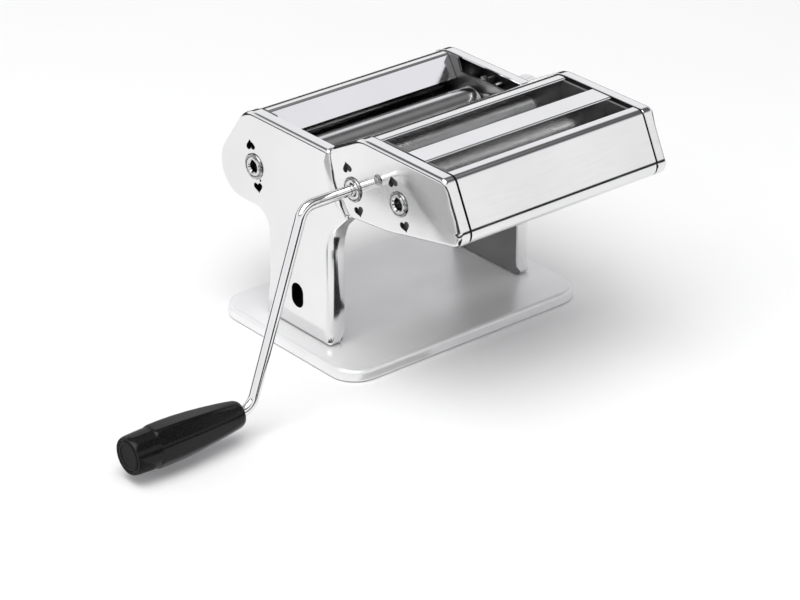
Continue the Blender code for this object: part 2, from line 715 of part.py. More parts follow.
def make_adjuster(steel, knob_finish):
    axis = add_axis("gap_adjuster_axis", ADJUSTER)
    cam_bore = SPINDLE_RADIUS + GAP
    end = HALF_WIDTH + KNOB_LENGTH - KNOB_WALL
    profile = [(-PLATE_OUTER - 1 * MM, SPINDLE_RADIUS), (end, SPINDLE_RADIUS)]
    add_piece("adjuster_spindle", turned(profile), steel, axis)
    for side in (-1, 1):
        low, high = sorted((side * BLOCK_INNER, side * (PLATE_INNER - GAP)))
        outline = cam_outline()
        bore = [point.normalized() * cam_bore for point in outline]
        corners = ((low, outline), (high, outline), (high, bore), (low, bore))
        rings = [[(x, *point) for point in ring] for x, ring in corners]
        add_piece(f"{side_name(side)}_snail_cam", loft(rings, ring_of_rings=True), steel, axis)

    knob_axis = add_axis("knob_axis", ADJUSTER, axis)
    low = HALF_WIDTH + GAP + INDEX_WALL + GAP
    high = low + KNOB_LENGTH
    hollow = low + KNOB_HOLLOW
    skirt = KNOB_RADIUS - KNOB_SKIRT
    hub = cam_bore + KNOB_WALL
    profile = [
        (low, cam_bore),
        (low, hub),
        (hollow, hub),
        (hollow, skirt),
        (low, skirt),
        (low, KNOB_RADIUS),
        (high - KNOB_WALL, KNOB_RADIUS),
        (high, KNOB_RADIUS - KNOB_WALL),
        (high, cam_bore + 1 * MM),
        (high - 2 * MM, cam_bore),
    ]
    add_piece("gap_knob", turned(profile, 24, tube=True), knob_finish, knob_axis)


# ================================================================ cutter head
def make_head(sheet, steel, dark):
    head = add_axis("cutter_head_axis", (0.0, HOUSING_Z))

    def add(name, source, material, centre=(0.0, 0.0)):
        """Adds a piece built about the (y, z) centre and hangs it on the head's empty."""
        piece = add_piece(name, source, material, head)
        piece.location = Vector((0, *centre)) - parent_place(head)
        return piece

    make_head_sides(add, sheet, steel)
    make_head_fittings(add, steel)
    make_head_covers(add, sheet)
    make_combs(add, dark)
    make_hooks(add, steel)
    return head


def make_head_sides(add, sheet, steel):
    """Both panels with their hearts and socket holes, and the plates that carry the cutters."""
    outline = head_outline()
    drives = [drive for drive, _ in CUTTER_PAIRS.values()]
    mates = [mate for _, mate in CUTTER_PAIRS.values()]
    for side in (-1, 1):
        shell = bent_shell(outline, PANEL_DEPTH, WALL, BEND, side_plane(side))
        panel = add(f"head_{side_name(side)}_panel", shell, sheet)
        holes = [cut for centre in drives for cut in heart_pair(centre, HEART_TILT)]
        if side < 0:
            holes += [circle(centre, HEAD_RING + GAP) for centre in drives]
            holes.append(circle(STUD, STUD_RADIUS + GAP, 16))
        near, far = HALF_WIDTH - 3 * WALL, HALF_WIDTH + WALL
        punch(panel, f"{panel.name}_holes", holes, *sorted((side * near, side * far)))

        far = HEAD_PLATE_FACE + HEAD_PLATE_WALL
        low, high = sorted((side * HEAD_PLATE_FACE, side * far))
        plate = add(f"head_{side_name(side)}_plate", slab(inset(outline, HEAD_EDGE), low, high), steel)
        drive_bore = HEAD_RING if side < 0 else CUTTER_JOURNAL
        holes = [circle(centre, CUTTER_JOURNAL + GAP) for centre in mates]
        holes += [circle(centre, drive_bore + GAP) for centre in drives]
        holes.append(circle(HEAD_TIE, TIE_END + GAP, 16))
        punch(plate, f"{plate.name}_holes", holes, low - WALL, high + WALL)


def make_head_fittings(add, steel):
    """Rings round the two crank sockets, the stud between them and the tie rod."""
    for name, (drive, _) in CUTTER_PAIRS.items():
        add(f"{name}_socket_ring", flanged_ring(HEAD_RING, HEAD_PLATE_FACE), steel, drive)
    head_high, crown = 1.2 * MM, 0.8 * MM
    profile = [
        (-HALF_WIDTH - head_high, STUD_RADIUS + crown - 0.6 * MM),
        (-HALF_WIDTH - GAP, STUD_RADIUS + crown),
        (-HALF_WIDTH - GAP, STUD_RADIUS),
        (-HEAD_PLATE_FACE - HEAD_PLATE_WALL - GAP, STUD_RADIUS),
    ]
    add("head_stud", turned(profile, 16), steel, STUD)
    shoulder = HEAD_PLATE_FACE - GAP
    add("head_tie_rod", tie_rod(shoulder + HEAD_PLATE_WALL, shoulder), steel, HEAD_TIE)


def make_head_covers(add, sheet):
    """Front cover, the bridge between the two feed slots, and the cover behind them."""
    reach = HEAD_PLATE_FACE - GAP
    top = HEAD_TOP - 0.6 * MM
    paths = {
        "front": [
            (-139.8 * MM, up(62), 0),
            (-139.8 * MM, top, 1.2 * MM),
            (-148 * MM, top, 5.4 * MM),
            (-167.6 * MM, up(47.6), 8.4 * MM),
            (-146 * MM, up(43.4), 0),
        ],
        "bridge": [
            (-100.9 * MM, up(71.5), 0),
            (-100.9 * MM, top, 1.6 * MM),
            (-118.6 * MM, top, 1.6 * MM),
            (-118.6 * MM, up(71.5), 0),
        ],
        "rear": [
            (-74.6 * MM, up(67), 0),
            (-74.6 * MM, top - 0.6 * MM, 1.6 * MM),
            (-66.2 * MM, top - 0.6 * MM, 20 * MM),
            (-34 * MM, up(69.4), 7 * MM),
            (-38.4 * MM, up(56), 0),
        ],
    }
    for name, corners in paths.items():
        path = rounded(corners, closed=False)
        add(f"head_{name}_cover", bent_sheet(path, COVER_WALL, -reach, reach), sheet)


def make_combs(add, dark):
    """Strips under the cutters that lift the cut dough off them."""
    reach = HEAD_PLATE_FACE - GAP
    lean_in = 2 * MM
    for name, (drive, mate) in CUTTER_PAIRS.items():
        for row, centre, lean in (("rear", drive, 1), ("front", mate, -1)):
            top_edge = Vector(centre) + Vector((-lean * lean_in, -DISC_RADIUS - 1.5 * GAP))
            low_edge = top_edge + Vector((lean * lean_in, -COMB_DEPTH))
            comb = bent_sheet([top_edge, low_edge], COVER_WALL, -reach, reach)
            add(f"{name}_{row}_comb", comb, dark)


def make_hooks(add, steel):
    """Straps on the head's plates that hang over the body's rails."""
    top_of_rail = RAIL_Z[1] + GAP + HOOK_WALL / 2
    end = RAIL_Y[0] + GAP + HOOK_WALL / 2
    path = [
        Vector((HOOK_FRONT, RAIL_Z[1] - 10 * MM)),
        Vector((HOOK_FRONT, top_of_rail)),
        Vector((end, top_of_rail)),
        Vector((end, RAIL_Z[1] - 14 * MM)),
    ]
    far = HEAD_PLATE_FACE - GAP
    near = far - RAIL_WIDTH + 2 * MM
    for side in (-1, 1):
        low, high = sorted((side * near, side * far))
        add(f"{side_name(side)}_head_hook", bent_sheet(path, HOOK_WALL, low, high), steel)


def grooved_profile(first_disc, count):
    """(x, radius) points of discs and grooves along a cutter."""
    points = []
    for number in range(count):
        middle = first_disc + number * DISC_PITCH
        low, high = middle - DISC_WIDTH / 2, middle + DISC_WIDTH / 2
        points += [(low, GROOVE_RADIUS), (low, DISC_RADIUS), (high, DISC_RADIUS), (high, GROOVE_RADIUS)]
    return points


def cutter_profile(kind, driven):
    """(x, radius) points of one cutter, with the crank socket in a driven one's left end."""
    if driven:
        profile = socket_end()
    else:
        end = HEAD_PLATE_FACE + HEAD_PLATE_WALL + 1 * MM
        profile = [(-end, CUTTER_JOURNAL), (-SHOULDER, CUTTER_JOURNAL)]
    if kind == "narrow":
        profile += [(-SHOULDER, NARROW_RADIUS), (SHOULDER, NARROW_RADIUS)]
    else:
        count = int((ROLLER_LENGTH - DISC_PITCH / 2 - DISC_WIDTH) / DISC_PITCH) + 1
        span = (count - 1) * DISC_PITCH
        shift = -DISC_PITCH / 4 if driven else DISC_PITCH / 4
        profile.append((-SHOULDER, GROOVE_RADIUS))
        profile += grooved_profile(shift - span / 2, count)
        profile.append((SHOULDER, GROOVE_RADIUS))
    return profile + [(SHOULDER, CUTTER_JOURNAL), (GEAR_FAR, CUTTER_JOURNAL)]


def make_cutters(head, chrome, gear_steel):
    """Both cutter pairs, each driven cutter geared to the one in front of it.

    Gives the axis empty of each driven cutter, for a crank to go on.
    """
    drive_axes = {}
    for kind, (drive, mate) in CUTTER_PAIRS.items():
        sides = 16 if kind == "wide" else 24
        for role, centre in (("drive", drive), ("mate", mate)):
            driven = role == "drive"
            axis = add_axis(f"{kind}_{role}_axis", centre, head)
            source = turned(cutter_profile(kind, driven), sides)
            add_piece(f"{kind}_{role}_cutter", source, chrome, axis)
            phase = math.pi - CUTTER_TILT if driven else -CUTTER_TILT + math.pi / CUTTER_TEETH
            bore = CUTTER_JOURNAL + GAP
            wheel = gear(CUTTER_TEETH, *CUTTER_GEAR, bore, GEAR_NEAR, GEAR_FAR, phase)
            add_piece(f"{kind}_{role}_gear", wheel, gear_steel, axis, smooth=20)
            if driven:
                drive_axes[kind] = axis
    return drive_axes


# ================================================================ crank
def rounded_path(points, radius, steps=6):
    """Points of a 3D polyline whose inner corners are rounded with arcs."""
    path = [Vector(points[0])]
    for before, here, after in zip(points, points[1:], points[2:]):
        to_before = (Vector(before) - Vector(here)).normalized()
        to_after = (Vector(after) - Vector(here)).normalized()
        half = to_before.angle(to_after) / 2
        centre = Vector(here) + (to_before + to_after).normalized() * (radius / math.sin(half))
        first = Vector(here) + to_before * (radius / math.tan(half)) - centre
        normal = to_after.cross(to_before).normalized()
        for number in range(steps + 1):
            turn = Matrix.Rotation((math.pi - 2 * half) * number / steps, 3, normal)
            path.append(centre + turn @ first)
    path.append(Vector(points[-1]))
    return path


def make_crank(drive_axis, chrome, black):
    """Bent rod in the wide cutter's socket, with a grip that turns on its far end."""
    tip = SOCKET_DEPTH - SOCKET_END - GAP
    first_bend = -(HALF_WIDTH + ROD_STANDOFF)
    arm = Vector((-ARM_LEAN_OUT, -ARM_LEAN_FRONT, -ARM_DROP))
    second_bend = Vector((first_bend, 0, 0)) + arm
    bend_reach = ROD_BEND * math.tan(arm.angle(Vector((-1, 0, 0))) / 2)
    start = second_bend.x - bend_reach - ROD_SHOWN
    corners = [
        (tip, 0, 0),
        (first_bend, 0, 0),
        tuple(second_bend),
        (start - GRIP_LENGTH + ROD_SHORT, second_bend.y, second_bend.z),
    ]
    crank_axis = add_axis("crank_axis", WIDE_DRIVE, drive_axis)
    add_rod("crank_rod", rounded_path(corners, ROD_BEND), ROD_RADIUS, chrome).parent = crank_axis

    grip_centre = (WIDE_DRIVE[0] + second_bend.y, WIDE_DRIVE[1] + second_bend.z)
    grip_axis = add_axis("grip_axis", grip_centre, crank_axis)
    bore = ROD_RADIUS + GAP
    outer = [(start - share * GRIP_LENGTH, width * GRIP_RADIUS) for share, width in GRIP_SHAPE]
    end = start - GRIP_LENGTH
    floor = end + CAP_WALL
    recess = GRIP_RADIUS * CAP_SHARE
    profile = [(start, bore), *outer, (end, recess), (floor, recess), (floor, bore)]
    add_piece("crank_grip", turned(profile, 24, tube=True), black, grip_axis)
    rim = recess - GAP
    cap = [(floor - GAP, rim), (end + GAP, rim), (end, recess - 1 * MM)]
    add_piece("grip_end_cap", turned(cap, 24), black, grip_axis)


def add_rod(name, path, radius, material):
    """Round rod along a path of points."""
    curve = bpy.data.curves.new(name, "CURVE")
    curve.dimensions = "3D"
    curve.bevel_depth = radius
    curve.bevel_resolution = 3
    curve.use_fill_caps = True
    curve.materials.append(material)
    spline = curve.splines.new("POLY")
    spline.points.add(len(path) - 1)
    for point, place in zip(spline.points, path):
        point.co = (*place, 1.0)
    rod = bpy.data.objects.new(name, curve)
    bpy.context.scene.collection.objects.link(rod)
    return rod


def main():
    clear_scene()
    chromed = finish("chromed_sheet", (0.88, 0.88, 0.89), 1.0, 0.16)
    chrome = finish("polished_chrome", (0.78, 0.78, 0.79), 1.0, 0.08)
    steel = finish("zinc_plated_steel", (0.62, 0.63, 0.65), 1.0, 0.3)
    gear_steel = finish("oiled_gear_steel", (0.35, 0.35, 0.37), 1.0, 0.35)
    bronze = finish("bush_steel", (0.55, 0.55, 0.56), 1.0, 0.25)
    rubber = finish("black_rubber", (0.03, 0.03, 0.03), 0.0, 0.7)
    black = finish("black_grip_plastic", (0.012, 0.012, 0.013), 0.0, 0.18)
    white = finish("white_knob_plastic", (0.85, 0.85, 0.86), 0.0, 0.3)
    grey = finish("grey_comb_plastic", (0.30, 0.30, 0.31), 0.0, 0.5)

    make_base(chromed, rubber)
    make_body_sides(chromed, steel)
    make_covers(chromed, steel)
    make_bushes(bronze)
    make_head_rails(steel)
    make_knob_plate(steel)
    make_rear_roller(chrome, gear_steel)
    make_front_roller(chrome, gear_steel, steel)
    make_adjuster(steel, white)
    head = make_head(chromed, steel, grey)
    drive_axes = make_cutters(head, chrome, gear_steel)
    make_crank(drive_axes["wide"], chrome, black)


main()
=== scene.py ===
# %% [markdown]
# # A hand-cranked pasta roller machine
#
# The machine stands on a table. A crank turns two smooth rollers, which flatten dough
# between them, or a pair of grooved cutters in the head at the front, which slice the
# sheet into noodles. Almost everything that shows is thin steel sheet, pressed, bent at
# its edges and chromed, so this lesson is mostly about two things: shapes with clean
# small bends, and a metal that looks right because of what it mirrors.
#
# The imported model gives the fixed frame: every piece sits where its box says.

# %% Load the frame and keep its box
import json
import math

import bmesh
import bpy
from mathutils import Matrix, Vector

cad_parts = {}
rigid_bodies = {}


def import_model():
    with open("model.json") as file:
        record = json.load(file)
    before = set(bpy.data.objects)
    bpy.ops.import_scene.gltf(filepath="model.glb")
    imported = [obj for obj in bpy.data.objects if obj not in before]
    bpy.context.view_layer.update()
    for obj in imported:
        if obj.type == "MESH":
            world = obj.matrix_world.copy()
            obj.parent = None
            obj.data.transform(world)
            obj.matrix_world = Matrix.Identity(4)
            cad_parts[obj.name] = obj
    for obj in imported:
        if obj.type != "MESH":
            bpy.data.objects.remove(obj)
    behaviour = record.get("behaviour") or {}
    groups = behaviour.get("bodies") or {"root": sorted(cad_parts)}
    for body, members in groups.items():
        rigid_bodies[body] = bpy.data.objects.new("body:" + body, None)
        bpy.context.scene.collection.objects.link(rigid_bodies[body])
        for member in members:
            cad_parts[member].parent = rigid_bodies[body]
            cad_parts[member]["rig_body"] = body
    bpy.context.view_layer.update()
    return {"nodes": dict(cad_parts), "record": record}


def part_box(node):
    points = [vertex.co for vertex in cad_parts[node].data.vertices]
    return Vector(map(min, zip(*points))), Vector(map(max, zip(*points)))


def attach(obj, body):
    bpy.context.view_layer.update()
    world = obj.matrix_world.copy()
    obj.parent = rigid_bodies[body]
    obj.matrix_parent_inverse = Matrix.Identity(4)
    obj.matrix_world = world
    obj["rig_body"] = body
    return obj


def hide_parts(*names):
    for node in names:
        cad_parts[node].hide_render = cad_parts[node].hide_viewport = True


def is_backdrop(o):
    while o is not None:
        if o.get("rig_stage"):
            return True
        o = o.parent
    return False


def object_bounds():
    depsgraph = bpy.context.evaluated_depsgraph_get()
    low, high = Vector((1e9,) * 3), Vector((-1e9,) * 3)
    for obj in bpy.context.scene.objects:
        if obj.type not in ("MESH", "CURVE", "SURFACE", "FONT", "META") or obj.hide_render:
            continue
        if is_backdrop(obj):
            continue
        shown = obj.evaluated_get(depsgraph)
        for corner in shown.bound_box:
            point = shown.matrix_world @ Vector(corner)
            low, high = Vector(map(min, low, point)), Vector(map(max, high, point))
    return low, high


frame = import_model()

MM = 0.001
print("parts in the frame:", len(frame["nodes"]))

# %% [markdown]
# ## The camera
#
# The machine is seen from its left front, from above, through a long lens, so that
# parallel edges stay almost parallel. A camera looks along its own -Z axis, and
# `to_track_quat` turns it so that -Z points from its place back to the target.

# %% Camera at the viewing angle
AZIMUTH = math.radians(-39.7586)
ELEVATION = math.radians(27.0621)
DISTANCE = 2.16826
TARGET = Vector((-0.00110, 0.00058, 0.00277))
LENS = 140.64

towards_camera = Vector(
    (
        math.sin(AZIMUTH) * math.cos(ELEVATION),
        -math.cos(AZIMUTH) * math.cos(ELEVATION),
        math.sin(ELEVATION),
    )
)
camera = bpy.data.objects.new("camera", bpy.data.cameras.new("camera"))
camera.data.lens = LENS
camera.data.clip_end = 30
camera.location = TARGET + towards_camera * DISTANCE
camera.rotation_euler = towards_camera.to_track_quat("Z", "Y").to_euler()
bpy.context.scene.collection.objects.link(camera)
bpy.context.scene.camera = camera
print("camera at", [round(value, 3) for value in camera.location])

# %% [markdown]
# ## The studio
#
# Chrome has next to no colour of its own: it shows the room. A white room would leave
# it as a white shape without edges, so a product studio puts dark zones round a bright
# tent, and each bend of the metal picks them up as thin dark lines. Here the world does
# that. Its brightness depends on the height of the direction only: a dark band round
# the horizon, white above it, then a dark ring, and grey straight overhead. The camera
# itself sees plain white there.

# %% Small helpers for node trees
def new_node(tree, kind, **settings):
    """Adds one node and sets its properties."""
    node = tree.nodes.new(kind)
    for key, value in settings.items():
        setattr(node, key, value)
    return node


def ramp(tree, source, stops):
    """Colour ramp from a socket; the stops are (position, colour)."""
    node = new_node(tree, "ShaderNodeValToRGB")
    elements = node.color_ramp.elements
    while len(elements) < len(stops):
        elements.new(0.5)
    for element, (position, colour) in zip(elements, stops):
        element.position = position
        element.color = (*colour, 1)
    tree.links.new(source, node.inputs["Fac"])
    return node.outputs["Color"]


def grey(value, blue=0.0):
    return (value, value, value + blue)


# %% The world: a bright tent with dark zones
world = bpy.data.worlds.new("studio")
bpy.context.scene.world = world
world.use_nodes = True
tree = world.node_tree
direction = new_node(tree, "ShaderNodeTexCoord").outputs["Generated"]
split = new_node(tree, "ShaderNodeSeparateXYZ")
tree.links.new(direction, split.inputs["Vector"])
height = new_node(tree, "ShaderNodeMapRange")
height.inputs["From Min"].default_value = -1
tree.links.new(split.outputs["Z"], height.inputs["Value"])
TENT = (
    (0.0, grey(1.0)),
    (0.42, grey(1.0)),
    (0.46, grey(0.02)),
    (0.575, grey(0.02)),
    (0.605, grey(1.0)),
    (0.66, grey(1.05)),
    (0.74, grey(0.96, 0.05)),
    (0.79, grey(0.90, 0.03)),
    (0.83, grey(0.16)),
    (0.88, grey(0.10)),
    (0.95, grey(0.55)),
)
background = tree.nodes["Background"]
for_camera = new_node(tree, "ShaderNodeBackground")
choose = new_node(tree, "ShaderNodeMixShader")
rays = new_node(tree, "ShaderNodeLightPath")
for source, target in (
    (ramp(tree, height.outputs["Result"], TENT), background.inputs["Color"]),
    (rays.outputs["Is Camera Ray"], choose.inputs["Fac"]),
    (background.outputs["Background"], choose.inputs[1]),
    (for_camera.outputs["Background"], choose.inputs[2]),
    (choose.outputs["Shader"], tree.nodes["World Output"].inputs["Surface"]),
):
    tree.links.new(source, target)
for_camera.inputs["Color"].default_value = (1, 1, 1, 1)

# %% Soft lights and the floor
def area_light(name, place, aim, size, power):
    """Large square lamp at a place, aimed at a point."""
    lamp = bpy.data.objects.new(name, bpy.data.lights.new(name, "AREA"))
    lamp.data.size = size
    lamp.data.energy = power
    lamp.location = place
    lamp.rotation_euler = (Vector(place) - Vector(aim)).to_track_quat("Z", "Y").to_euler()
    bpy.context.scene.collection.objects.link(lamp)


LAMP_PLACE = (-0.9, -0.5, 2.6)
LAMP_AIM = (0, 0, 0.1)
area_light("overhead_light", LAMP_PLACE, LAMP_AIM, size=2.4, power=60)


def paper(name, dark, light):
    """Matt paper with a faint mottle."""
    made = bpy.data.materials.new(name)
    made.use_nodes = True
    tree = made.node_tree
    fibres = new_node(tree, "ShaderNodeTexNoise")
    fibres.inputs["Scale"].default_value = 4
    place = new_node(tree, "ShaderNodeTexCoord").outputs["Object"]
    tree.links.new(place, fibres.inputs["Vector"])
    shader = tree.nodes["Principled BSDF"]
    shade = ramp(tree, fibres.outputs["Fac"], ((0.3, grey(dark)), (0.7, grey(light))))
    tree.links.new(shade, shader.inputs["Base Color"])
    shader.inputs["Roughness"].default_value = 0.9
    shader.inputs["Specular IOR Level"].default_value = 0.1
    return made


def sheet_of_paper(name, points, material):
    """Flat stage piece that lies in the frame but isn't part of the machine."""
    mesh = bpy.data.meshes.new(name)
    mesh.from_pydata(points, [], [range(len(points))])
    mesh.materials.append(material)
    sheet = bpy.data.objects.new(name, mesh)
    bpy.context.scene.collection.objects.link(sheet)
    sheet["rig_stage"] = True
    return sheet


FLOOR_RADIUS = 1.25
FLOOR_SIDES = 96
angles = [2 * math.pi * k / FLOOR_SIDES for k in range(FLOOR_SIDES)]
rim_points = [(math.cos(a) * FLOOR_RADIUS, math.sin(a) * FLOOR_RADIUS, 0) for a in angles]
sheet_of_paper("floor", rim_points, paper("white_paper", 0.93, 0.95))

# %% [markdown]
# A flag is a dark card that is only there to be mirrored. A grey one lies to the left of
# the machine. The flat panels don't see it, but the rolled front edges of the head do,
# and turn grey next to the white. Two black ones lie in front on the left, one for the
# stripe along the crank's arm and one for the front edge of the leg.

# %% Cards that only reflections see
CARD_HEIGHT = 0.002


def flag(name, low, high, material):
    """Card just above the floor between two (x, y) corners."""
    corners = ((low[0], low[1]), (high[0], low[1]), (high[0], high[1]), (low[0], high[1]))
    card = sheet_of_paper(name, [(*corner, CARD_HEIGHT) for corner in corners], material)
    card.visible_camera = False
    card.visible_diffuse = False
    card.visible_shadow = False
    card.visible_transmission = False


black = paper("black_paper", 0.02, 0.03)
flag("grey_card", (-0.85, -0.25), (-0.27, 0.17), paper("grey_paper", 0.42, 0.46))
flag("arm_card", (-0.235, -0.55), (-0.06, -0.17), black)
flag("leg_card", (-0.095, -0.17), (-0.035, -0.06), black)
bpy.context.scene.view_settings.view_transform = "Standard"
print("studio ready")

# %% [markdown]
# ## Finishes
#
# Each metal gets the same build: a slow noise that shifts the colour a little, a noise
# stretched along X that makes the roughness vary in streaks as polishing leaves them,
# and a fine bump. Only what changes over the surface comes from nodes. What is the same
# everywhere, such as the metalness, is typed into the shader.

# %% A function for metals
def metal(name, dark, light, rough, streak=(40, 900, 900), bump=0.03, patch=18, pure=1.0):
    """Metal whose colour drifts from dark to light and whose roughness runs in streaks."""
    made = bpy.data.materials.new(name)
    made.use_nodes = True
    tree = made.node_tree
    place = new_node(tree, "ShaderNodeTexCoord").outputs["Object"]
    shader = tree.nodes["Principled BSDF"]
    shader.inputs["Metallic"].default_value = pure

    drift = new_node(tree, "ShaderNodeTexNoise")
    drift.inputs["Scale"].default_value = patch
    drift.inputs["Detail"].default_value = 3
    tree.links.new(place, drift.inputs["Vector"])
    colour = ramp(tree, drift.outputs["Fac"], ((0.35, dark), (0.65, light)))
    tree.links.new(colour, shader.inputs["Base Color"])

    stretch = new_node(tree, "ShaderNodeMapping")
    stretch.inputs["Scale"].default_value = streak
    tree.links.new(place, stretch.inputs["Vector"])
    lines = new_node(tree, "ShaderNodeTexNoise")
    lines.inputs["Scale"].default_value = 1
    lines.inputs["Detail"].default_value = 4
    tree.links.new(stretch.outputs["Vector"], lines.inputs["Vector"])
    spread = new_node(tree, "ShaderNodeMapRange")
    spread.inputs["From Min"].default_value = 0.3
    spread.inputs["From Max"].default_value = 0.7
    spread.inputs["To Min"].default_value = rough[0]
    spread.inputs["To Max"].default_value = rough[1]
    tree.links.new(lines.outputs["Fac"], spread.inputs["Value"])
    tree.links.new(spread.outputs["Result"], shader.inputs["Roughness"])

    relief = new_node(tree, "ShaderNodeBump")
    relief.inputs["Strength"].default_value = bump
    relief.inputs["Distance"].default_value = 0.0001
    tree.links.new(lines.outputs["Fac"], relief.inputs["Height"])
    tree.links.new(relief.outputs["Normal"], shader.inputs["Normal"])
    return made


chromed_panel = metal("chromed_panel", grey(0.77), grey(0.81), (0.09, 0.16), bump=0.01)
satin_base = metal("satin_base", grey(0.86), grey(0.90), (0.30, 0.40), pure=0.35)
# zinc_steel is the inner plates' own metal, but darker than real plated steel: painted shade, so
# that what is seen through the cut-outs stands for the dark inside
zinc_steel = metal("zinc_steel", grey(0.15), grey(0.24), (0.3, 0.45), bump=0.05)
polished_roller = metal(
    "polished_roller", grey(0.66), grey(0.74), (0.10, 0.2), (1500, 30, 30), 0.04
)
crank_chrome = metal("crank_chrome", grey(0.80), grey(0.86), (0.04, 0.09), bump=0.01)
gear_steel = metal("gear_steel", grey(0.20), grey(0.32), (0.3, 0.45), (300, 300, 300), 0.1)
socket_metal = metal(
    "socket_metal", grey(0.20), grey(0.52), (0.15, 0.36), (500, 500, 500), 0.2, patch=260
)

# %% A function for plastics and rubber
def moulded(name, dark, light, rough, grain, bump, shine=0.5):
    """Moulded plastic or rubber: a fine grain in its colour, roughness and relief."""
    made = bpy.data.materials.new(name)
    made.use_nodes = True
    tree = made.node_tree
    place = new_node(tree, "ShaderNodeTexCoord").outputs["Object"]
    shader = tree.nodes["Principled BSDF"]
    shader.inputs["Specular IOR Level"].default_value = shine

    fine = new_node(tree, "ShaderNodeTexNoise")
    fine.inputs["Scale"].default_value = grain
    fine.inputs["Detail"].default_value = 5
    tree.links.new(place, fine.inputs["Vector"])
    colour = ramp(tree, fine.outputs["Fac"], ((0.35, dark), (0.65, light)))
    tree.links.new(colour, shader.inputs["Base Color"])
    spread = new_node(tree, "ShaderNodeMapRange")
    spread.inputs["To Min"].default_value = rough[0]
    spread.inputs["To Max"].default_value = rough[1]
    tree.links.new(fine.outputs["Fac"], spread.inputs["Value"])
    tree.links.new(spread.outputs["Result"], shader.inputs["Roughness"])
    relief = new_node(tree, "ShaderNodeBump")
    relief.inputs["Strength"].default_value = bump
    relief.inputs["Distance"].default_value = 0.0002
    tree.links.new(fine.outputs["Fac"], relief.inputs["Height"])
    tree.links.new(relief.outputs["Normal"], shader.inputs["Normal"])
    return made


foot_rubber = moulded("foot_rubber", grey(0.015), grey(0.035), (0.6, 0.8), 2500, 0.3)
black_grip = moulded("black_grip", grey(0.004), grey(0.008), (0.14, 0.26), 700, 0.04, 0.2)
knob_plastic = moulded("knob_plastic", grey(0.70), grey(0.76), (0.25, 0.4), 900, 0.05)
comb_plastic = moulded("comb_plastic", grey(0.10), grey(0.16), (0.45, 0.6), 1800, 0.15)

finish_of_slot = {
    "chromed_panel": chromed_panel,
    "zinc_steel": zinc_steel,
    "polished_roller": polished_roller,
    "crank_chrome": crank_chrome,
    "gear_steel": gear_steel,
    "socket_metal": socket_metal,
    "foot_rubber": foot_rubber,
    "black_grip": black_grip,
    "knob_plastic": knob_plastic,
    "comb_plastic": comb_plastic,
}
slot_of_node = {row["node"]: row["material_slot"] for row in frame["record"]["subparts"]}
for name, node in frame["nodes"].items():
    node.data.materials.clear()
    node.data.materials.append(finish_of_slot[slot_of_node[name]])
print("finishes:", len(finish_of_slot))

# %% [markdown]
# ## Turning shapes into pieces
#
# A piece made here stands for one part of the frame: it moves with the same body, hides
# that part and takes its finish. Three small functions do this for every piece. Smooth
# shading blends the normals of neighbouring faces, which would bend the reflection in a
# large flat face, so the Weighted Normal modifier lets large faces win.

# %% From a bmesh to a finished piece
def link_mesh(name, source, smooth=35):
    """Object from a bmesh, with smooth round faces and sharp edges over the angle."""
    bmesh.ops.remove_doubles(source, verts=source.verts, dist=1e-7)
    bmesh.ops.recalc_face_normals(source, faces=source.faces)
    mesh = bpy.data.meshes.new(name)
    source.to_mesh(mesh)
    source.free()
    mesh.shade_smooth()
    mesh.set_sharp_from_angle(angle=math.radians(smooth))
    obj = bpy.data.objects.new(name, mesh)
    bpy.context.scene.collection.objects.link(obj)
    return obj


def settle(obj):
    """Applies the modifiers and the place of an object to its mesh."""
    graph = bpy.context.evaluated_depsgraph_get()
    mesh = bpy.data.meshes.new_from_object(obj.evaluated_get(graph), depsgraph=graph)
    obj.modifiers.clear()
    mesh.transform(obj.matrix_world)
    obj.matrix_world = Matrix.Identity(4)
    obj.data = mesh


def stand_in(obj, *nodes, material=None):
    """The object stands for these parts: same body, same finish, and they are hidden."""
    weigh = obj.modifiers.new("flat_faces_win", "WEIGHTED_NORMAL")
    weigh.keep_sharp = True
    weigh.weight = 100
    settle(obj)
    slot = slot_of_node[nodes[0]]
    obj.data.materials.clear()
    obj.data.materials.append(material or finish_of_slot[slot])
    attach(obj, frame["nodes"][nodes[0]]["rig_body"])
    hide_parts(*nodes)
    return obj


# %% Lofts, outlines and lathe work
def loft(rings, closed=False, into=None):
    """Skin over rings of equal length, capped at both ends or closed into a ring."""
    source = into or bmesh.new()
    rows = [[source.verts.new(point) for point in ring] for ring in rings]
    pairs = list(zip(rows, rows[1:]))
    if closed:
        pairs.append((rows[-1], rows[0]))
    else:
        source.faces.new(rows[0])
        source.faces.new(rows[-1])
    count = len(rows[0])
    for low, high in pairs:
        for here in range(count):
            after = (here + 1) % count
            source.faces.new((low[here], low[after], high[after], high[here]))
    return source


def rounded(corners, closed=True, step=math.radians(6)):
    """Outline whose corners (u, v, radius) are rounded with arcs."""
    points = []
    for index, (u, v, radius) in enumerate(corners):
        here = Vector((u, v))
        at_end = not closed and index in (0, len(corners) - 1)
        if at_end or radius == 0:
            points.append(here)
            continue
        to_before = (Vector(corners[index - 1][:2]) - here).normalized()
        to_after = (Vector(corners[(index + 1) % len(corners)][:2]) - here).normalized()
        half = to_before.angle(to_after) / 2
        centre = here + (to_before + to_after).normalized() * (radius / math.sin(half))
        first = here + to_before * (radius / math.tan(half)) - centre
        last = here + to_after * (radius / math.tan(half)) - centre
        sweep = math.pi - 2 * half
        turn = math.copysign(sweep, first.cross(last))
        steps = max(3, math.ceil(sweep / step))
        for number in range(steps + 1):
            points.append(centre + Matrix.Rotation(turn * number / steps, 2) @ first)
    return points


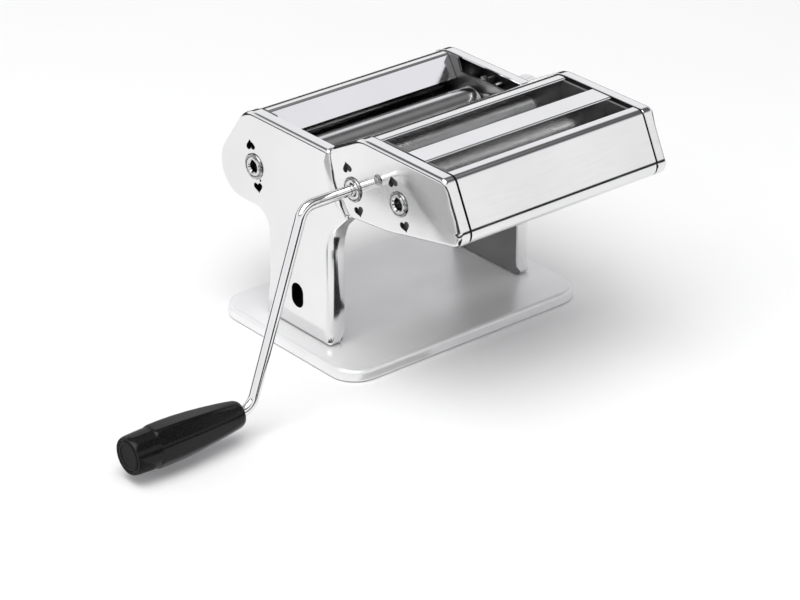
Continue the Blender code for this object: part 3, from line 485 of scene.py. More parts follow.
def inset(points, distances):
    """Closed outline whose points move inwards, each by its own distance."""
    area = sum(points[i - 1].cross(points[i]) for i in range(len(points)))
    inwards = math.copysign(1.0, area)
    moved = []
    for index, here in enumerate(points):
        before = (here - points[index - 1]).normalized()
        after = (points[(index + 1) % len(points)] - here).normalized()
        normal = Vector((-before.y - after.y, before.x + after.x)) * inwards
        moved.append(here + normal * (2 * distances[index] / normal.length_squared))
    return moved


def circle(centre, radius, sides=64):
    turns = [2 * math.pi * k / sides for k in range(sides)]
    return [Vector(centre) + Vector((math.cos(a), math.sin(a))) * radius for a in turns]


def slab(outline, low, high, into=None):
    """Flat plate of a (y, z) outline between two x values."""
    return loft([[(x, *point) for point in outline] for x in (low, high)], into=into)


def turned(profile, centre, sides=64, tube=False, into=None):
    """Round shape about a line along X through the (y, z) centre."""
    rings = []
    for x, radius in profile:
        rings.append([(x, *point) for point in circle(centre, radius, sides)])
    return loft(rings, closed=tube, into=into)


# %% [markdown]
# ## Pressed panels
#
# A side panel is cut from sheet, and its edge is bent back all round into a rim. One way
# is a Bevel modifier on a solid, but the rim is open behind. Here the sheet is lofted:
# the same outline, moved inwards and forwards in small steps, gives the rim, the bend,
# and the flat face. Each point has its own bend width, so that the front of the leg can
# roll over gently while the rest stays crisp.

# %% The sheet and its holes
SHEET = 1.2 * MM
RIM_DEPTH = 9.0 * MM
BEND = 3.0 * MM
BEND_STEPS = 7
EDGE = 0.3 * MM  # how much a cut edge is broken


def pressed(outline, place, depths=None, widths=None):
    """Sheet with a rounded edge and a rim; place(u, v, w) sets w behind the face."""
    widths = widths or [(BEND, BEND)] * len(outline)
    depths = depths or [RIM_DEPTH] * len(outline)
    layers = []
    for number in range(BEND_STEPS + 1):
        turn = math.radians(90) * number / BEND_STEPS
        layers.append((1 - math.sin(turn), 1 - math.cos(turn)))
    rings = []
    for across, down in layers:
        ring = inset(outline, [width * across for width, _ in widths])
        rings.append([place(*p, fall * down) for p, (_, fall) in zip(ring, widths)])
    rings.append([place(*p, depth - EDGE) for p, depth in zip(outline, depths)])
    for distance in (EDGE, SHEET):
        edge = inset(outline, [distance] * len(outline))
        rings.append([place(*p, depth) for p, depth in zip(edge, depths)])
    for across, down in reversed(layers):
        ring = inset(outline, [SHEET + (width - SHEET) * across for width, _ in widths])
        rings.append(
            [place(*p, SHEET + (fall - SHEET) * down) for p, (_, fall) in zip(ring, widths)]
        )
    return loft(rings)


def heart(centre, tilt, width=9.6 * MM, sides=48):
    """Heart outline that points away along (sin tilt, cos tilt)."""
    points = []
    turn = Matrix.Rotation(math.pi - tilt, 2)
    for number in range(sides):
        t = 2 * math.pi * (number + 0.5) / sides  # the classic heart curve
        u = 16 * math.sin(t) ** 3
        v = 13 * math.cos(t) - 5 * math.cos(2 * t) - 2 * math.cos(3 * t) - math.cos(4 * t)
        points.append(Vector(centre) + turn @ Vector((u, v * 0.86)) * (width / 32))
    return points


def heart_pair(axis, tilt, reach=14.7 * MM):
    """Two hearts on either side of an axis, each pointing away from it."""
    away = Vector((math.sin(tilt), math.cos(tilt))) * reach
    return [heart(Vector(axis) + away, tilt), heart(Vector(axis) - away, tilt + math.pi)]


def punch(obj, outlines, low, high):
    """Cuts (y, z) outlines through an object between two x values."""
    tools = bmesh.new()
    for outline in outlines:
        slab(outline, low, high, into=tools)
    tool = link_mesh("punch", tools)
    cut = obj.modifiers.new("holes", "BOOLEAN")
    cut.solver = "EXACT"
    cut.object = tool
    settle(obj)
    bpy.data.objects.remove(tool)
    obj.data.shade_smooth()
    obj.data.set_sharp_from_angle(angle=math.radians(35))


# %% Places taken from the frame
def axis_of(node):
    """(y, z) of the middle of a round part."""
    low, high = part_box(node)
    return ((low.y + high.y) / 2, (low.z + high.z) / 2)


half_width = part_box("right_side_panel")[1].x
rim_x = half_width - RIM_DEPTH
base_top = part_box("base_tray")[1].z
body_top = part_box("left_side_panel")[1].z
head_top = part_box("head_left_panel")[1].z
housing = body_top - 68.5 * MM
MAIN = axis_of("rear_roller_bush")
WIDE = axis_of("wide_socket_ring")
NARROW = axis_of("narrow_socket_ring")
ADJUSTER = axis_of("index_plate")
STUD = axis_of("head_stud")
ROLLER_TILT = math.radians(15.4)
HEART_TILT = math.radians(24.3)
LEG_FRONT = -33.5 * MM
LEG_HOLE = (1.6 * MM, base_top + 26.5 * MM)
DOT = (MAIN[0] - 6.4 * MM, MAIN[1] - 8.4 * MM)  # small hole under the ring
MAIN_HOLE = 8.8 * MM
HEAD_HOLE = 8.2 * MM
SHADE_SHEET_HOLE = 8.6 * MM
STUD_HOLE = 3.3 * MM
SPINDLE_HOLE = 3.9 * MM
DOT_HOLE = 1.0 * MM
print("sockets at", [round(1000 * value, 1) for value in (*MAIN, *WIDE, *NARROW)])


def up(height_mm):
    """Height above the table, counted from the underside of the roller housing."""
    return housing + height_mm * MM


HEAD_REAR = (
    (-54.0 * MM, up(28.2), 6 * MM),
    (-38.0 * MM, up(51.2), 35 * MM),
    (-32.5 * MM, up(70.7), 9 * MM),
)

# %% [markdown]
# ## Side panels of the body
#
# Leg and roller housing are one sheet. The front edge of the leg rolls over softly into
# a deeper rim: each point of the outline has its own bend width, fall and rim depth,
# which grow from the foot upwards and shrink again where the cutter head takes over.
# Where the body meets the head, a shallow roll turns the sheet a little. Hearts and the
# oval in the leg are decoration and let one see that the inside is dark.

# %% Body outline and the leg's soft front edge
foot = base_top + 0.3 * MM
front = [(y + 0.9 * MM, z, radius) for y, z, radius in HEAD_REAR]
share = (body_top - front[1][1]) / (front[2][1] - front[1][1])
body_outline = rounded(
    [
        (38.5 * MM, foot, 3.3 * MM),
        (33 * MM, up(-46), 80 * MM),
        (33 * MM, housing, 14 * MM),
        (107.1 * MM, housing, 22.5 * MM),
        (57.5 * MM, body_top, 22 * MM),
        (front[1][0] + (front[2][0] - front[1][0]) * share, body_top, 3.3 * MM),
        front[1],
        (front[0][0], up(27.2), 4 * MM),
        (LEG_FRONT, up(7), 30 * MM),
        (LEG_FRONT + 0.5 * MM, foot, 3.3 * MM),
    ]
)


def with_middles(points, longest=4 * MM):
    """Adds points on the straight runs, so that a bend's width can change along them."""
    filled = []
    for index, here in enumerate(points):
        after = points[(index + 1) % len(points)]
        parts = max(1, round((after - here).length / longest))
        filled += [here.lerp(after, number / parts) for number in range(parts)]
    return filled


def smooth_step(value, low, high):
    share = min(1.0, max(0.0, (value - low) / (high - low)))
    return share * share * (3 - 2 * share)


body_outline = with_middles(body_outline)
LEG_ROLL = (6.0 * MM, 9.5 * MM)  # how far it reaches over the face, and back
LEG_RIM = 13.0 * MM
JOINT_ROLL = (8.0 * MM, 3.0 * MM)


def towards(start, end, much):
    return start + (end - start) * much


body_bends = []
rim_depths = []
for point in body_outline:
    ahead = point.x < -25 * MM
    grow = smooth_step(point.y, foot + 1 * MM, foot + 9 * MM)
    leg = grow * (1 - smooth_step(point.y, up(4), up(24))) if ahead else 0.0
    joint = smooth_step(point.y, up(31), up(37)) * (1 - smooth_step(point.y, up(60), up(65)))
    joint = joint if ahead else 0.0
    width = towards(towards(BEND, LEG_ROLL[0], leg), JOINT_ROLL[0], joint)
    fall = towards(towards(BEND, LEG_ROLL[1], leg), JOINT_ROLL[1], joint)
    body_bends.append((width, fall))
    rim_depths.append(towards(RIM_DEPTH, LEG_RIM, leg))

oval = rounded(
    [
        (LEG_HOLE[0] + u * 6.3 * MM, LEG_HOLE[1] + v * 9 * MM, 6.2 * MM)
        for u, v in ((-1, -1), (1, -1), (1, 1), (-1, 1))
    ]
)


def side_plane(side):
    """Places a point (y, z, depth) on the left (-1) or right (1) side."""
    return lambda u, v, w: (side * (half_width - w), u, v)


def layer(side, depth, other_depth):
    """The x values of two depths behind a side's face, lowest first."""
    return sorted((side * (half_width - depth), side * (half_width - other_depth)))


THROUGH_FACE = (4 * MM, -2 * MM)
# depths of the dark sheet behind the head's cut-outs, which is painted shade
SHADE_SHEET_LAYER = (3.2 * MM, 3.8 * MM)


for side, word in ((-1, "left"), (1, "right")):
    panel = link_mesh(
        f"{word}_body_panel",
        pressed(body_outline, side_plane(side), rim_depths, body_bends),
    )
    holes = [*heart_pair(MAIN, ROLLER_TILT), oval]
    holes.append(circle(MAIN, MAIN_HOLE) if side < 0 else circle(ADJUSTER, SPINDLE_HOLE))
    holes.append(circle(DOT, DOT_HOLE, 16))
    punch(panel, holes, *layer(side, *THROUGH_FACE))
    stand_in(panel, f"{word}_side_panel")
print("body panels made, each of", len(panel.data.polygons), "faces")

# %% [markdown]
# ## Side panels of the cutter head
#
# The same sheet work with another outline. Its upper rear lobe tucks into the hollow of
# the body's front edge, and its upper edge slopes down along the front.

# %% Head panels
head_outline = with_middles(
    rounded(
        [
            *HEAD_REAR,
            (-66 * MM, head_top, 24 * MM),
            (-148.5 * MM, head_top, 6 * MM),
            (-168.5 * MM, up(47.2), 9 * MM),
            (-92 * MM, up(31.8), 60 * MM),
        ]
    )
)
HEAD_ROLL_WIDTH = 9.5 * MM
HEAD_ROLL_FALL = 3.2 * MM
head_roll = []
for point in head_outline:
    ahead = point.x < -149 * MM
    much = smooth_step(head_top - point.y, 5 * MM, 12 * MM) if ahead else 0.0
    much *= smooth_step(point.y, up(53), up(60))
    head_roll.append(
        (BEND + (HEAD_ROLL_WIDTH - BEND) * much, BEND + (HEAD_ROLL_FALL - BEND) * much)
    )
for side, word in ((-1, "left"), (1, "right")):
    sheet = pressed(head_outline, side_plane(side), widths=head_roll)
    panel = link_mesh(f"{word}_head_panel", sheet)
    holes = heart_pair(WIDE, HEART_TILT) + heart_pair(NARROW, HEART_TILT)
    if side < 0:
        holes += [circle(WIDE, HEAD_HOLE), circle(NARROW, HEAD_HOLE), circle(STUD, STUD_HOLE)]
    punch(panel, holes, *layer(side, *THROUGH_FACE))
    stand_in(panel, f"head_{word}_panel")
    # Behind the cut-outs lies a dark plastic sheet: painted shade that stands for the shade inside
    # the head, so that the hearts read black.
    shade_sheet_outline = inset(head_outline, [SHEET + 0.05 * MM] * len(head_outline))
    near, far = layer(side, *SHADE_SHEET_LAYER)
    painted_shade_sheet = link_mesh(f"{word}_liner", slab(shade_sheet_outline, near, far))
    holes = [circle(WIDE, SHADE_SHEET_HOLE), circle(NARROW, SHADE_SHEET_HOLE), circle(STUD, STUD_HOLE)]
    punch(painted_shade_sheet, holes, near - MM, far + MM)
    painted_shade_sheet.data.materials.clear()
    painted_shade_sheet.data.materials.append(comb_plastic)
    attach(painted_shade_sheet, frame["nodes"][f"head_{word}_panel"]["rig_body"])
print("head panels made, with a dark liner behind their cut-outs")

# %% [markdown]
# ## Base tray
#
# A shallow pressed tray turned upside down. It uses the same function, this time laid
# flat, so `place` puts the outline in the XY plane.

# %% Base
base_low, base_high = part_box("base_tray")
corner = 20 * MM
tray_outline = rounded(
    [
        (x * base_high.x, y * base_high.y, corner)
        for x, y in ((1, 1), (-1, 1), (-1, -1), (1, -1))
    ],
    step=math.radians(4),
)
tray_depths = [base_high.z - base_low.z] * len(tray_outline)
tray = pressed(tray_outline, lambda u, v, w: (u, v, base_top - w), tray_depths)
stand_in(link_mesh("base_plate", tray), "base_tray", material=satin_base)
print("base tray made")

# %% [markdown]
# ## Covers
#
# The covers are bent sheet of one width: the middle line of the bend is drawn once, in
# the (y, z) plane, thickened to both sides and stretched along X. The skin reaches from
# rim to rim. The parts that turn down into the machine end before the inner plates.

# %% Bent sheet
COVER = 1.0 * MM


def bent_sheet(path, low, high, wall=COVER, into=None):
    """Sheet with the (y, z) path as its middle line between two x values."""
    sides = [[], []]
    for index, here in enumerate(path):
        before = (here - path[index - 1]).normalized() if index else None
        after = (path[index + 1] - here).normalized() if index + 1 < len(path) else before
        before = before or after
        normal = Vector((-before.y - after.y, before.x + after.x))
        shift = normal * (wall / normal.length_squared)
        sides[0].append(here + shift)
        sides[1].append(here - shift)
    return slab(sides[0] + sides[1][::-1], low, high, into=into)


skin_x = rim_x - 1.5 * MM
turn_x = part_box("head_right_plate")[0].x - 0.3 * MM
level = head_top - 0.6 * MM
skins = {
    "front": [
        (-139.8 * MM, level - 0.9 * MM, 0),
        (-139.8 * MM, level, 0.8 * MM),
        (-148 * MM, level, 5.4 * MM),
        (-167.6 * MM, up(47.6), 8.4 * MM),
        (-155.0 * MM, up(45.15), 0),
    ],
    "bridge": [
        (-100.9 * MM, level - 0.9 * MM, 0),
        (-100.9 * MM, level, 0.8 * MM),
        (-118.6 * MM, level, 0.8 * MM),
        (-118.6 * MM, level - 0.9 * MM, 0),
    ],
    "rear": [
        (-74.6 * MM, level - 1.5 * MM, 0),
        (-74.6 * MM, level - 0.6 * MM, 0.8 * MM),
        (-66.2 * MM, level - 0.6 * MM, 20 * MM),
        (-34 * MM, up(69.4), 7 * MM),
        (-36.4 * MM, up(62.0), 0),
    ],
}
turned_down = {
    "front": [
        [(-139.8 * MM, level - 0.8 * MM), (-139.8 * MM, up(62))],
        [(-155.1 * MM, up(45.17)), (-146 * MM, up(43.4))],
    ],
    "bridge": [
        [(-100.9 * MM, level - 0.8 * MM), (-100.9 * MM, up(71.5))],
        [(-118.6 * MM, level - 0.8 * MM), (-118.6 * MM, up(71.5))],
    ],
    "rear": [
        [(-74.6 * MM, level - 1.4 * MM), (-74.6 * MM, up(67))],
        [(-36.37 * MM, up(62.1)), (-38.4 * MM, up(56))],
    ],
}
for name, corners in skins.items():
    sheet = bent_sheet(rounded(corners, closed=False), -skin_x, skin_x)
    for path in turned_down[name]:
        bent_sheet([Vector(point) for point in path], -turn_x, turn_x, into=sheet)
    stand_in(link_mesh(f"{name}_cover_of_head", sheet, smooth=25), f"head_{name}_cover")

cover_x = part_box("rear_cover")[1].x
edge = 1.2 * MM
rear_path = rounded(
    [
        (35.2 * MM, up(52.2), 0),
        (44.6 * MM, body_top - edge, 2.5 * MM),
        (57.5 * MM - edge / 2, body_top - edge, 22 * MM - edge),
        (107.1 * MM - 2 * edge, housing + edge, 22.5 * MM - edge),
        (56 * MM, housing + edge, 0),
    ],
    closed=False,
)
stand_in(
    link_mesh("roller_rear_cover", bent_sheet(rear_path, -cover_x, cover_x), smooth=25),
    "rear_cover",
)
print("covers made")

# %% [markdown]
# ## Rollers
#
# Smooth rollers are lathe work: a profile of (x, radius) points is turned about the
# axis. Ninety-six sides keep the outline and the reflection round.

# %% Smooth rollers and their socket
ROLLER = 14.5 * MM
JOURNAL = 6.0 * MM
BORE = 4.2 * MM
SOCKET = 6.8 * MM
CUTTER_JOURNAL = 4.5 * MM
roller_end = 75.4 * MM
gear_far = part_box("rear_roller_gear")[1].x
socket_x = -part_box("main_socket_ring")[0].x


def socket_profile():
    """(x, radius) points of a shaft's left end, with the crank's socket in it."""
    return [
        (-socket_x + 15 * MM, BORE),
        (-socket_x + 1.0 * MM, BORE),
        (-socket_x, BORE + 0.9 * MM),
        (-socket_x, SOCKET - 0.4 * MM),
        (-socket_x + 0.4 * MM, SOCKET),
        (-roller_end, SOCKET),
    ]


def barrel(radius, journal):
    """(x, radius) points of a plain roller and its right journal."""
    points = [(-roller_end, radius - 0.8 * MM), (-roller_end + 0.8 * MM, radius)]
    points += [(roller_end - 0.8 * MM, radius), (roller_end, radius - 0.8 * MM)]
    return points + [(roller_end, journal), (gear_far, journal)]


FRONT = axis_of("front_roller")
rear = turned(socket_profile() + barrel(ROLLER, JOURNAL), MAIN, 96)
stand_in(link_mesh("rear_smooth_roller", rear, smooth=30), "rear_roller")
left_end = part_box("front_roller")[0].x
profile = [(left_end, JOURNAL), (-roller_end, JOURNAL)] + barrel(ROLLER, JOURNAL)
stand_in(link_mesh("front_smooth_roller", turned(profile, FRONT, 96), smooth=30), "front_roller")
print("smooth rollers made")

# %% [markdown]
# ## Things that repeat
#
# Cutter discs, comb fingers and knob flutes are all one shape, repeated along X or round
# it. One Geometry Nodes tree does both. A Mesh Line gives one point for
# each copy, Instance on Points places the shape, and each copy is turned a little more
# about X by its index. The copies are made real at the end, because only real geometry
# can be exported.

# %% One tree that repeats a shape
def repeat_tree():
    """Copies of a shape along X by Pitch, each turned about X by Turn."""
    tree = bpy.data.node_groups.new("repeat_along_and_round_x", "GeometryNodeTree")
    face = tree.interface
    face.new_socket("Geometry", in_out="OUTPUT", socket_type="NodeSocketGeometry")
    for label, kind in (
        ("Shape", "NodeSocketObject"),
        ("Count", "NodeSocketInt"),
        ("Pitch", "NodeSocketFloat"),
        ("Turn", "NodeSocketFloat"),
        ("Finish", "NodeSocketMaterial"),
    ):
        face.new_socket(label, in_out="INPUT", socket_type=kind)
    given = new_node(tree, "NodeGroupInput").outputs
    line = new_node(tree, "GeometryNodeMeshLine", mode="OFFSET")
    offset = new_node(tree, "ShaderNodeCombineXYZ")
    index = new_node(tree, "GeometryNodeInputIndex")
    angle = new_node(tree, "ShaderNodeMath", operation="MULTIPLY")
    turn = new_node(tree, "ShaderNodeCombineXYZ")
    shape = new_node(tree, "GeometryNodeObjectInfo")
    copies = new_node(tree, "GeometryNodeInstanceOnPoints")
    real = new_node(tree, "GeometryNodeRealizeInstances")
    paint = new_node(tree, "GeometryNodeSetMaterial")
    result = new_node(tree, "NodeGroupOutput")
    for source, target in (
        (given["Count"], line.inputs["Count"]),
        (given["Pitch"], offset.inputs["X"]),
        (offset.outputs["Vector"], line.inputs["Offset"]),
        (index.outputs["Index"], angle.inputs[0]),
        (given["Turn"], angle.inputs[1]),
        (angle.outputs["Value"], turn.inputs["X"]),
        (given["Shape"], shape.inputs["Object"]),
        (line.outputs["Mesh"], copies.inputs["Points"]),
        (shape.outputs["Geometry"], copies.inputs["Instance"]),
        (turn.outputs["Vector"], copies.inputs["Rotation"]),
        (copies.outputs["Instances"], real.inputs["Geometry"]),
        (real.outputs["Geometry"], paint.inputs["Geometry"]),
        (given["Finish"], paint.inputs["Material"]),
        (paint.outputs["Geometry"], result.inputs["Geometry"]),
    ):
        tree.links.new(source, target)
    return tree


REPEAT = repeat_tree()


def repeated(name, shape, count, pitch=0.0, turn=0.0, finish=chromed_panel, centre=(0, 0)):
    """Mesh object with count copies of a shape that is made about the X axis."""
    holder = bpy.data.objects.new(name, bpy.data.meshes.new(name))
    bpy.context.scene.collection.objects.link(holder)
    copies = holder.modifiers.new("repeat", "NODES")
    copies.node_group = REPEAT
    values = {"Shape": shape, "Count": count, "Pitch": pitch, "Turn": turn, "Finish": finish}
    for socket in REPEAT.interface.items_tree:
        if socket.in_out == "INPUT":
            copies[socket.identifier] = values[socket.name]
    holder.location = (0, *centre)
    bpy.context.view_layer.update()
    settle(holder)
    bpy.data.objects.remove(shape)
    return holder


def join(name, *objects):
    """One object from the meshes of several, without their materials."""
    joined = bmesh.new()
    for obj in objects:
        joined.from_mesh(obj.data)
        bpy.data.objects.remove(obj)
    return link_mesh(name, joined, smooth=30)


# %% [markdown]
# ## Cutters
#
# A wide cutter is a shaft with discs; the discs of one cutter run in the grooves of the
# other. The narrow pair has fine ridges. Both are a core turned on the lathe, with the
# discs put on by the tree.

# %% Wide and narrow cutters
DISC = 12.0 * MM
DISC_WIDTH = 5.6 * MM
DISC_PITCH = 12.0 * MM
GROOVE = 8.4 * MM
RIDGE_PITCH = 2.6 * MM
RIDGE_WIDTH = 1.5 * MM
NARROW_CUTTER = 10.2 * MM
RIDGE_ROOT = 9.2 * MM


def ring_shape(low, high, inner, outer, chamfer, sides):
    """Disc with chamfered edges, open in the middle, about the X axis."""
    profile = [(low, inner), (low, outer - chamfer), (low + chamfer, outer)]
    profile += [(high - chamfer, outer), (high, outer - chamfer), (high, inner)]
    return link_mesh("disc", turned(profile, (0, 0), sides, tube=True), smooth=30)


def cutter(node, name, start, count, pitch, width, core, outer, chamfer, sides):
    """Shaft with discs at a pitch, which stands for a cutter node."""
    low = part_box(node)[0].x
    centre = axis_of(node)
    if low < -half_width:
        left = socket_profile()
    else:
        left = [(low, CUTTER_JOURNAL), (-roller_end, CUTTER_JOURNAL)]
    right = [(roller_end, core), (roller_end, CUTTER_JOURNAL), (gear_far, CUTTER_JOURNAL)]
    shaft = link_mesh("shaft", turned([*left, (-roller_end, core), *right], centre, 64))
    disc = ring_shape(start - width / 2, start + width / 2, core - 0.2 * MM, outer, chamfer, sides)
    discs = repeated("discs", disc, count, pitch, centre=centre)
    stand_in(join(name, shaft, discs), node)


disc_count = 12
disc_span = (disc_count - 1) * DISC_PITCH
for role, shift in (("drive", -DISC_PITCH / 4), ("mate", DISC_PITCH / 4)):
    start = shift - disc_span / 2
    cutter(
        f"wide_{role}_cutter", f"wide_{role}_discs", start, disc_count, DISC_PITCH,
        DISC_WIDTH, GROOVE, DISC, 0.3 * MM, 56,
    )
    ridges = int(2 * roller_end / RIDGE_PITCH) - 1
    start = -(ridges - 1) * RIDGE_PITCH / 2
    cutter(
        f"narrow_{role}_cutter", f"narrow_{role}_ridges", start, ridges, RIDGE_PITCH,
        RIDGE_WIDTH, RIDGE_ROOT, NARROW_CUTTER, 0.2 * MM, 40,
    )
print("cutters made:", disc_count, "discs and", ridges, "ridges on each")

# %% [markdown]
# ## Combs
#
# Under each cutter a strip with fingers reaches between the discs and peels the dough
# off. The strip is bent sheet and the fingers are repeated at the pitch of the discs.

# %% Combs with fingers
def comb(node, lean, pitch, width, height, first, count):
    """Leaning strip with fingers at a pitch, which stands for a comb node."""
    low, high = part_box(node)
    middle = (low.y + high.y) / 2
    y = middle - lean * 1.0 * MM
    top = [Vector((y, high.z)), Vector((middle + lean * 1.0 * MM, low.z))]
    strip = link_mesh("strip", bent_sheet(top, low.x, high.x, 0.9 * MM))
    outline = [
        Vector((y - 0.45 * MM, high.z - 1 * MM)),
        Vector((y + 0.45 * MM, high.z - 1 * MM)),
        Vector((y + 0.3 * MM - lean * 0.5 * MM, high.z + height)),
        Vector((y - 0.3 * MM - lean * 0.5 * MM, high.z + height)),
    ]
    finger = link_mesh("finger", slab(outline, first - width / 2, first + width / 2))
    fingers = repeated("fingers", finger, count, pitch)
    stand_in(join(node.replace("comb", "stripper"), strip, fingers), node)


for role, row, lean, shift in (("drive", "rear", 1, -1), ("mate", "front", -1, 1)):
    first = shift * DISC_PITCH / 4 - disc_span / 2 + DISC_PITCH / 2
    comb(f"wide_{row}_comb", lean, DISC_PITCH, 4.4 * MM, 2.6 * MM, first, disc_count - 1)
    comb(f"narrow_{row}_comb", lean, 2 * RIDGE_PITCH, 1.2 * MM, 1.6 * MM, start, ridges // 2)
print("combs made")

# %% [markdown]
# ## Socket rings and stud
#
# The rings frame the crank's sockets. Soft edges on their flanges catch a highlight.

# %% Rings and stud
RINGS = {
    "main_socket_ring": (MAIN, 8.7 * MM),
    "wide_socket_ring": (WIDE, 8.1 * MM),
    "narrow_socket_ring": (NARROW, 8.1 * MM),
}
for node, (centre, outer) in RINGS.items():
    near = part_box(node)[1].x
    inner = SOCKET + EDGE
    flange = outer + 0.5 * MM
    profile = [
        (-socket_x, inner + 0.3 * MM),
        (-socket_x, flange - 0.9 * MM),
        (-socket_x + 0.35 * MM, flange - 0.3 * MM),
        (-socket_x + 0.9 * MM, flange),
        (-half_width - 0.3 * MM, flange),
        (-half_width - 0.3 * MM, outer),
        (near, outer),
        (near, inner),
        (-socket_x + 0.3 * MM, inner),
    ]
    name = node.replace("socket_ring", "ring")
    stand_in(link_mesh(name, turned(profile, centre, tube=True), 40), node)

stud_low, stud_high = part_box("head_stud")
profile = [
    (stud_low.x, 1.6 * MM),
    (stud_low.x + 0.15 * MM, 2.6 * MM),
    (stud_low.x + 0.6 * MM, 3.5 * MM),
    (-half_width - EDGE, 3.8 * MM),
    (-half_width - EDGE, 3.0 * MM),
    (stud_high.x, 3.0 * MM),
]
stand_in(link_mesh("panel_stud", turned(profile, STUD, 40), 50), "head_stud")
print("rings and stud made")

# %% [markdown]
# ## Crank
#
# A steel rod, bent twice and chromed. The path is a line with its corners rounded, and a
# curve with a round bevel gives it its body. The tip has a chamfer, so it finds its
# socket.

# %% The bent rod
ROD = 3.75 * MM
ROD_BEND = 13 * MM


def rounded_path(points, radius, steps=14):
    """Points of a 3D line whose inner corners are rounded with arcs."""
    path = [Vector(points[0])]
    for before, here, after in zip(points, points[1:], points[2:]):
        to_before = (Vector(before) - Vector(here)).normalized()
        to_after = (Vector(after) - Vector(here)).normalized()
        half = to_before.angle(to_after) / 2
        centre = Vector(here) + (to_before + to_after).normalized() * (radius / math.sin(half))
        first = Vector(here) + to_before * (radius / math.tan(half)) - centre
        normal = to_after.cross(to_before).normalized()
        for number in range(steps + 1):
            turn = Matrix.Rotation((math.pi - 2 * half) * number / steps, 3, normal)
            path.append(centre + turn @ first)
    path.append(Vector(points[-1]))
    return path


rod_low, rod_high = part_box("crank_rod")
grip_low, grip_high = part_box("crank_grip")
GRIP_AXIS = axis_of("crank_grip")
first_bend = -half_width - 41 * MM
ARM_LEAN_OUT = 61.5 * MM
arm = Vector((-ARM_LEAN_OUT, GRIP_AXIS[0] - WIDE[0], GRIP_AXIS[1] - WIDE[1]))
second_bend = Vector((first_bend, *WIDE)) + arm
rod_path = rounded_path(
    [
        (rod_high.x, *WIDE),
        (first_bend, *WIDE),
        tuple(second_bend),
        (rod_low.x, *GRIP_AXIS),
    ],
    ROD_BEND,
)
curve = bpy.data.curves.new("rod", "CURVE")
curve.dimensions = "3D"
curve.bevel_depth = ROD
curve.bevel_resolution = 8
curve.use_fill_caps = True
spline = curve.splines.new("POLY")
tip_in = 0.8 * MM
rod_path.insert(1, rod_path[0] + Vector((-tip_in, 0, 0)))
spline.points.add(len(rod_path) - 1)
for number, (point, place) in enumerate(zip(spline.points, rod_path)):
    point.co = (*place, 1.0)
    point.radius = 0.8 if number == 0 else 1.0
line = bpy.data.objects.new("rod_line", curve)
bpy.context.scene.collection.objects.link(line)
graph = bpy.context.evaluated_depsgraph_get()
rod = bmesh.new()
rod.from_mesh(line.evaluated_get(graph).to_mesh())
bpy.data.objects.remove(line)
stand_in(link_mesh("bent_crank_rod", rod, 40), "crank_rod")
print("crank rod of", len(rod_path), "points")

# %% [markdown]
# ## Grip
#
# The black grip swells towards the hand, steps down near its outer end and has long flat
# facets, which give the straight highlights. A lathe makes only circles, so each ring is
# pressed flat wherever the circle stands out over an eight-sided prism.

# %% Faceted grip and its cap
GRIP = 14.6 * MM
GRIP_SHAPE = (  # share of the length, share of the radius, how far the flats cut in
    (0.0, 0.56, 0.0), (0.012, 0.60, 0.0), (0.03, 0.64, 0.0), (0.08, 0.69, 0.2),
    (0.16, 0.76, 0.7), (0.30, 0.86, 1.0), (0.42, 0.93, 1.0), (0.55, 0.98, 1.0),
    (0.64, 0.995, 1.0), (0.70, 1.0, 1.0), (0.77, 0.99, 0.9), (0.785, 0.975, 0.8),
    (0.795, 0.95, 0.5), (0.80, 0.93, 0.3), (0.82, 0.925, 0.3), (0.90, 0.91, 0.3),
    (0.96, 0.895, 0.2), (0.985, 0.88, 0.0), (1.0, 0.84, 0.0),
)
FLATS = 8
CUT_IN = 0.055
GRIP_SIDES = 96
grip_length = grip_high.x - grip_low.x


def grip_ring(x, radius, cut):
    """Ring whose radius drops to a flat wherever it stands out over the prism."""
    ring = []
    for number in range(GRIP_SIDES):
        angle = 2 * math.pi * number / GRIP_SIDES
        off = (angle + math.pi / FLATS) % (2 * math.pi / FLATS) - math.pi / FLATS
        reach = min(radius, radius * (1 - CUT_IN * cut) / math.cos(off))
        y = GRIP_AXIS[0] + reach * math.cos(angle)
        z = GRIP_AXIS[1] + reach * math.sin(angle)
        ring.append((x, y, z))
    return ring


rings = [
    grip_ring(grip_high.x - share * grip_length, width * GRIP, cut)
    for share, width, cut in GRIP_SHAPE
]
recess = 0.70 * GRIP
for x, radius in (
    (grip_low.x, recess + 0.5 * MM),
    (grip_low.x + 0.3 * MM, recess),
    (grip_low.x + 1.5 * MM, recess),
    (grip_low.x + 1.5 * MM, ROD + 0.3 * MM),
    (grip_high.x, ROD + 0.3 * MM),
):
    rings.append(grip_ring(x, radius, 0.0))
stand_in(link_mesh("faceted_grip", loft(rings, closed=True), 28), "crank_grip")

cap_low, cap_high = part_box("grip_end_cap")
rim = recess - 0.3 * MM
profile = [
    (cap_high.x, rim),
    (cap_low.x + 0.3 * MM, rim),
    (cap_low.x, rim - 0.5 * MM),
    (cap_low.x, rim - 1.5 * MM),
    (cap_low.x + 0.5 * MM, rim - 2.0 * MM),
    (cap_low.x + 0.6 * MM, 1.0 * MM),
]
stand_in(link_mesh("grip_disc", turned(profile, GRIP_AXIS, 64), 40), "grip_end_cap")
print("grip and cap made")

# %% [markdown]
# ## Gap knob and its index plate
#
# The knob outside the right panel sets the gap between the smooth rollers. It is turned
# as a hollow cup, with flutes for the fingers round it. The plate under it is a plain
# disc with a broken edge.

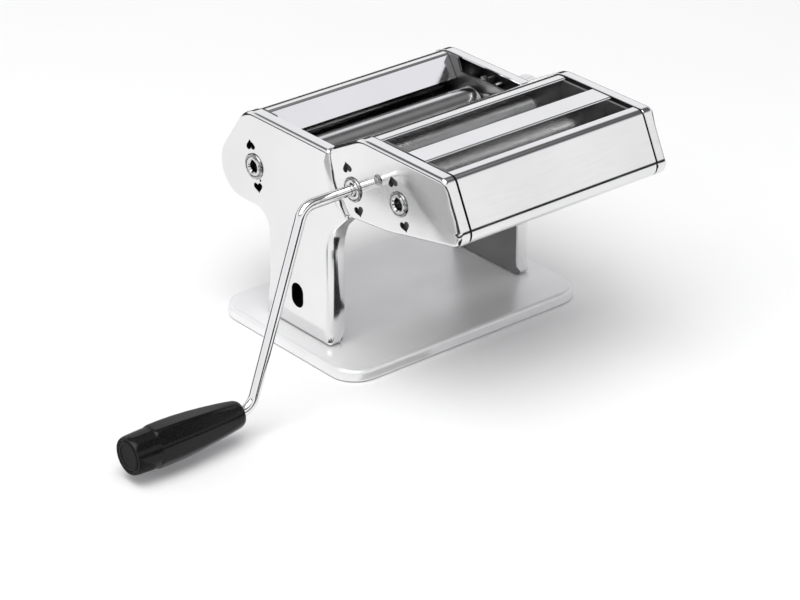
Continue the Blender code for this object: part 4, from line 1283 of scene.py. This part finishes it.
# %% Fluted knob and plate
knob_low, knob_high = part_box("gap_knob")
KNOB = (knob_high.z - knob_low.z) / 2
profile = [
    (knob_low.x, SPINDLE_HOLE), (knob_low.x, 6.9 * MM), (knob_low.x + 12 * MM, 6.9 * MM),
    (knob_low.x + 12 * MM, KNOB - 2.2 * MM), (knob_low.x, KNOB - 2.2 * MM),
    (knob_low.x, KNOB), (knob_low.x + 1.6 * MM, KNOB), (knob_low.x + 2.2 * MM, KNOB - 0.8 * MM),
    (knob_high.x - 3 * MM, KNOB - 0.8 * MM), (knob_high.x - 1.2 * MM, KNOB - 1.8 * MM),
    (knob_high.x - 0.3 * MM, KNOB - 3.6 * MM), (knob_high.x, KNOB - 5.0 * MM),
    (knob_high.x, 4.9 * MM), (knob_high.x - 2 * MM, SPINDLE_HOLE),
]
cup = link_mesh("cup", turned(profile, ADJUSTER, 72, tube=True))
FLUTE_POINTS = ((1.4, -0.9), (0.2, -0.5), (0.0, 0.0), (0.2, 0.5), (1.4, 0.9))
flute_outline = [Vector((KNOB - depth * MM, across * MM)) for depth, across in FLUTE_POINTS]
flute = link_mesh("flute", slab(flute_outline, knob_low.x + 1.8 * MM, knob_high.x - 3.4 * MM))
FLUTES = 30
flutes = repeated("flutes", flute, FLUTES, turn=2 * math.pi / FLUTES, centre=ADJUSTER)
stand_in(join("fluted_knob", cup, flutes), "gap_knob")

plate_low, plate_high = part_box("index_plate")
PLATE = (plate_high.z - plate_low.z) / 2
profile = [
    (plate_low.x, SPINDLE_HOLE),
    (plate_low.x, PLATE),
    (plate_high.x - EDGE, PLATE),
    (plate_high.x, PLATE - EDGE),
    (plate_high.x, SPINDLE_HOLE),
]
stand_in(link_mesh("index_disc", turned(profile, ADJUSTER, 64, tube=True)), "index_plate")
print("knob with", FLUTES, "flutes made")

# %% [markdown]
# ## Feet
#
# Rubber pads under the base, with a groove round them where they bulge.

# %% Rubber feet
for row in ("front", "rear"):
    for word in ("left", "right"):
        node = f"foot_{row}_{word}"
        low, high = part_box(node)
        middle = (low + high) / 2
        radius = (high.x - low.x) / 2
        rings = []
        for z, reach in (
            (0.0, 0.60), (0.0, 0.86), (0.25, 0.94), (0.6, 0.99), (1.0, 1.0),
            (2.2, 1.0), (2.6, 0.94), (4.0, 0.92), (1000 * high.z, 0.88),
        ):
            rings.append([(*point, z * MM) for point in circle(middle.xy, radius * reach, 40)])
        stand_in(link_mesh(f"pad_{row}_{word}", loft(rings), 40), node)
print("feet made")

# %% [markdown]
# ## Size
#
# The size of the visual model, without the stage pieces, is printed at the end.

# %% Sizes and the end
low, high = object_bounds()
print("visual size in mm:", [round(1000 * side, 1) for side in high - low])
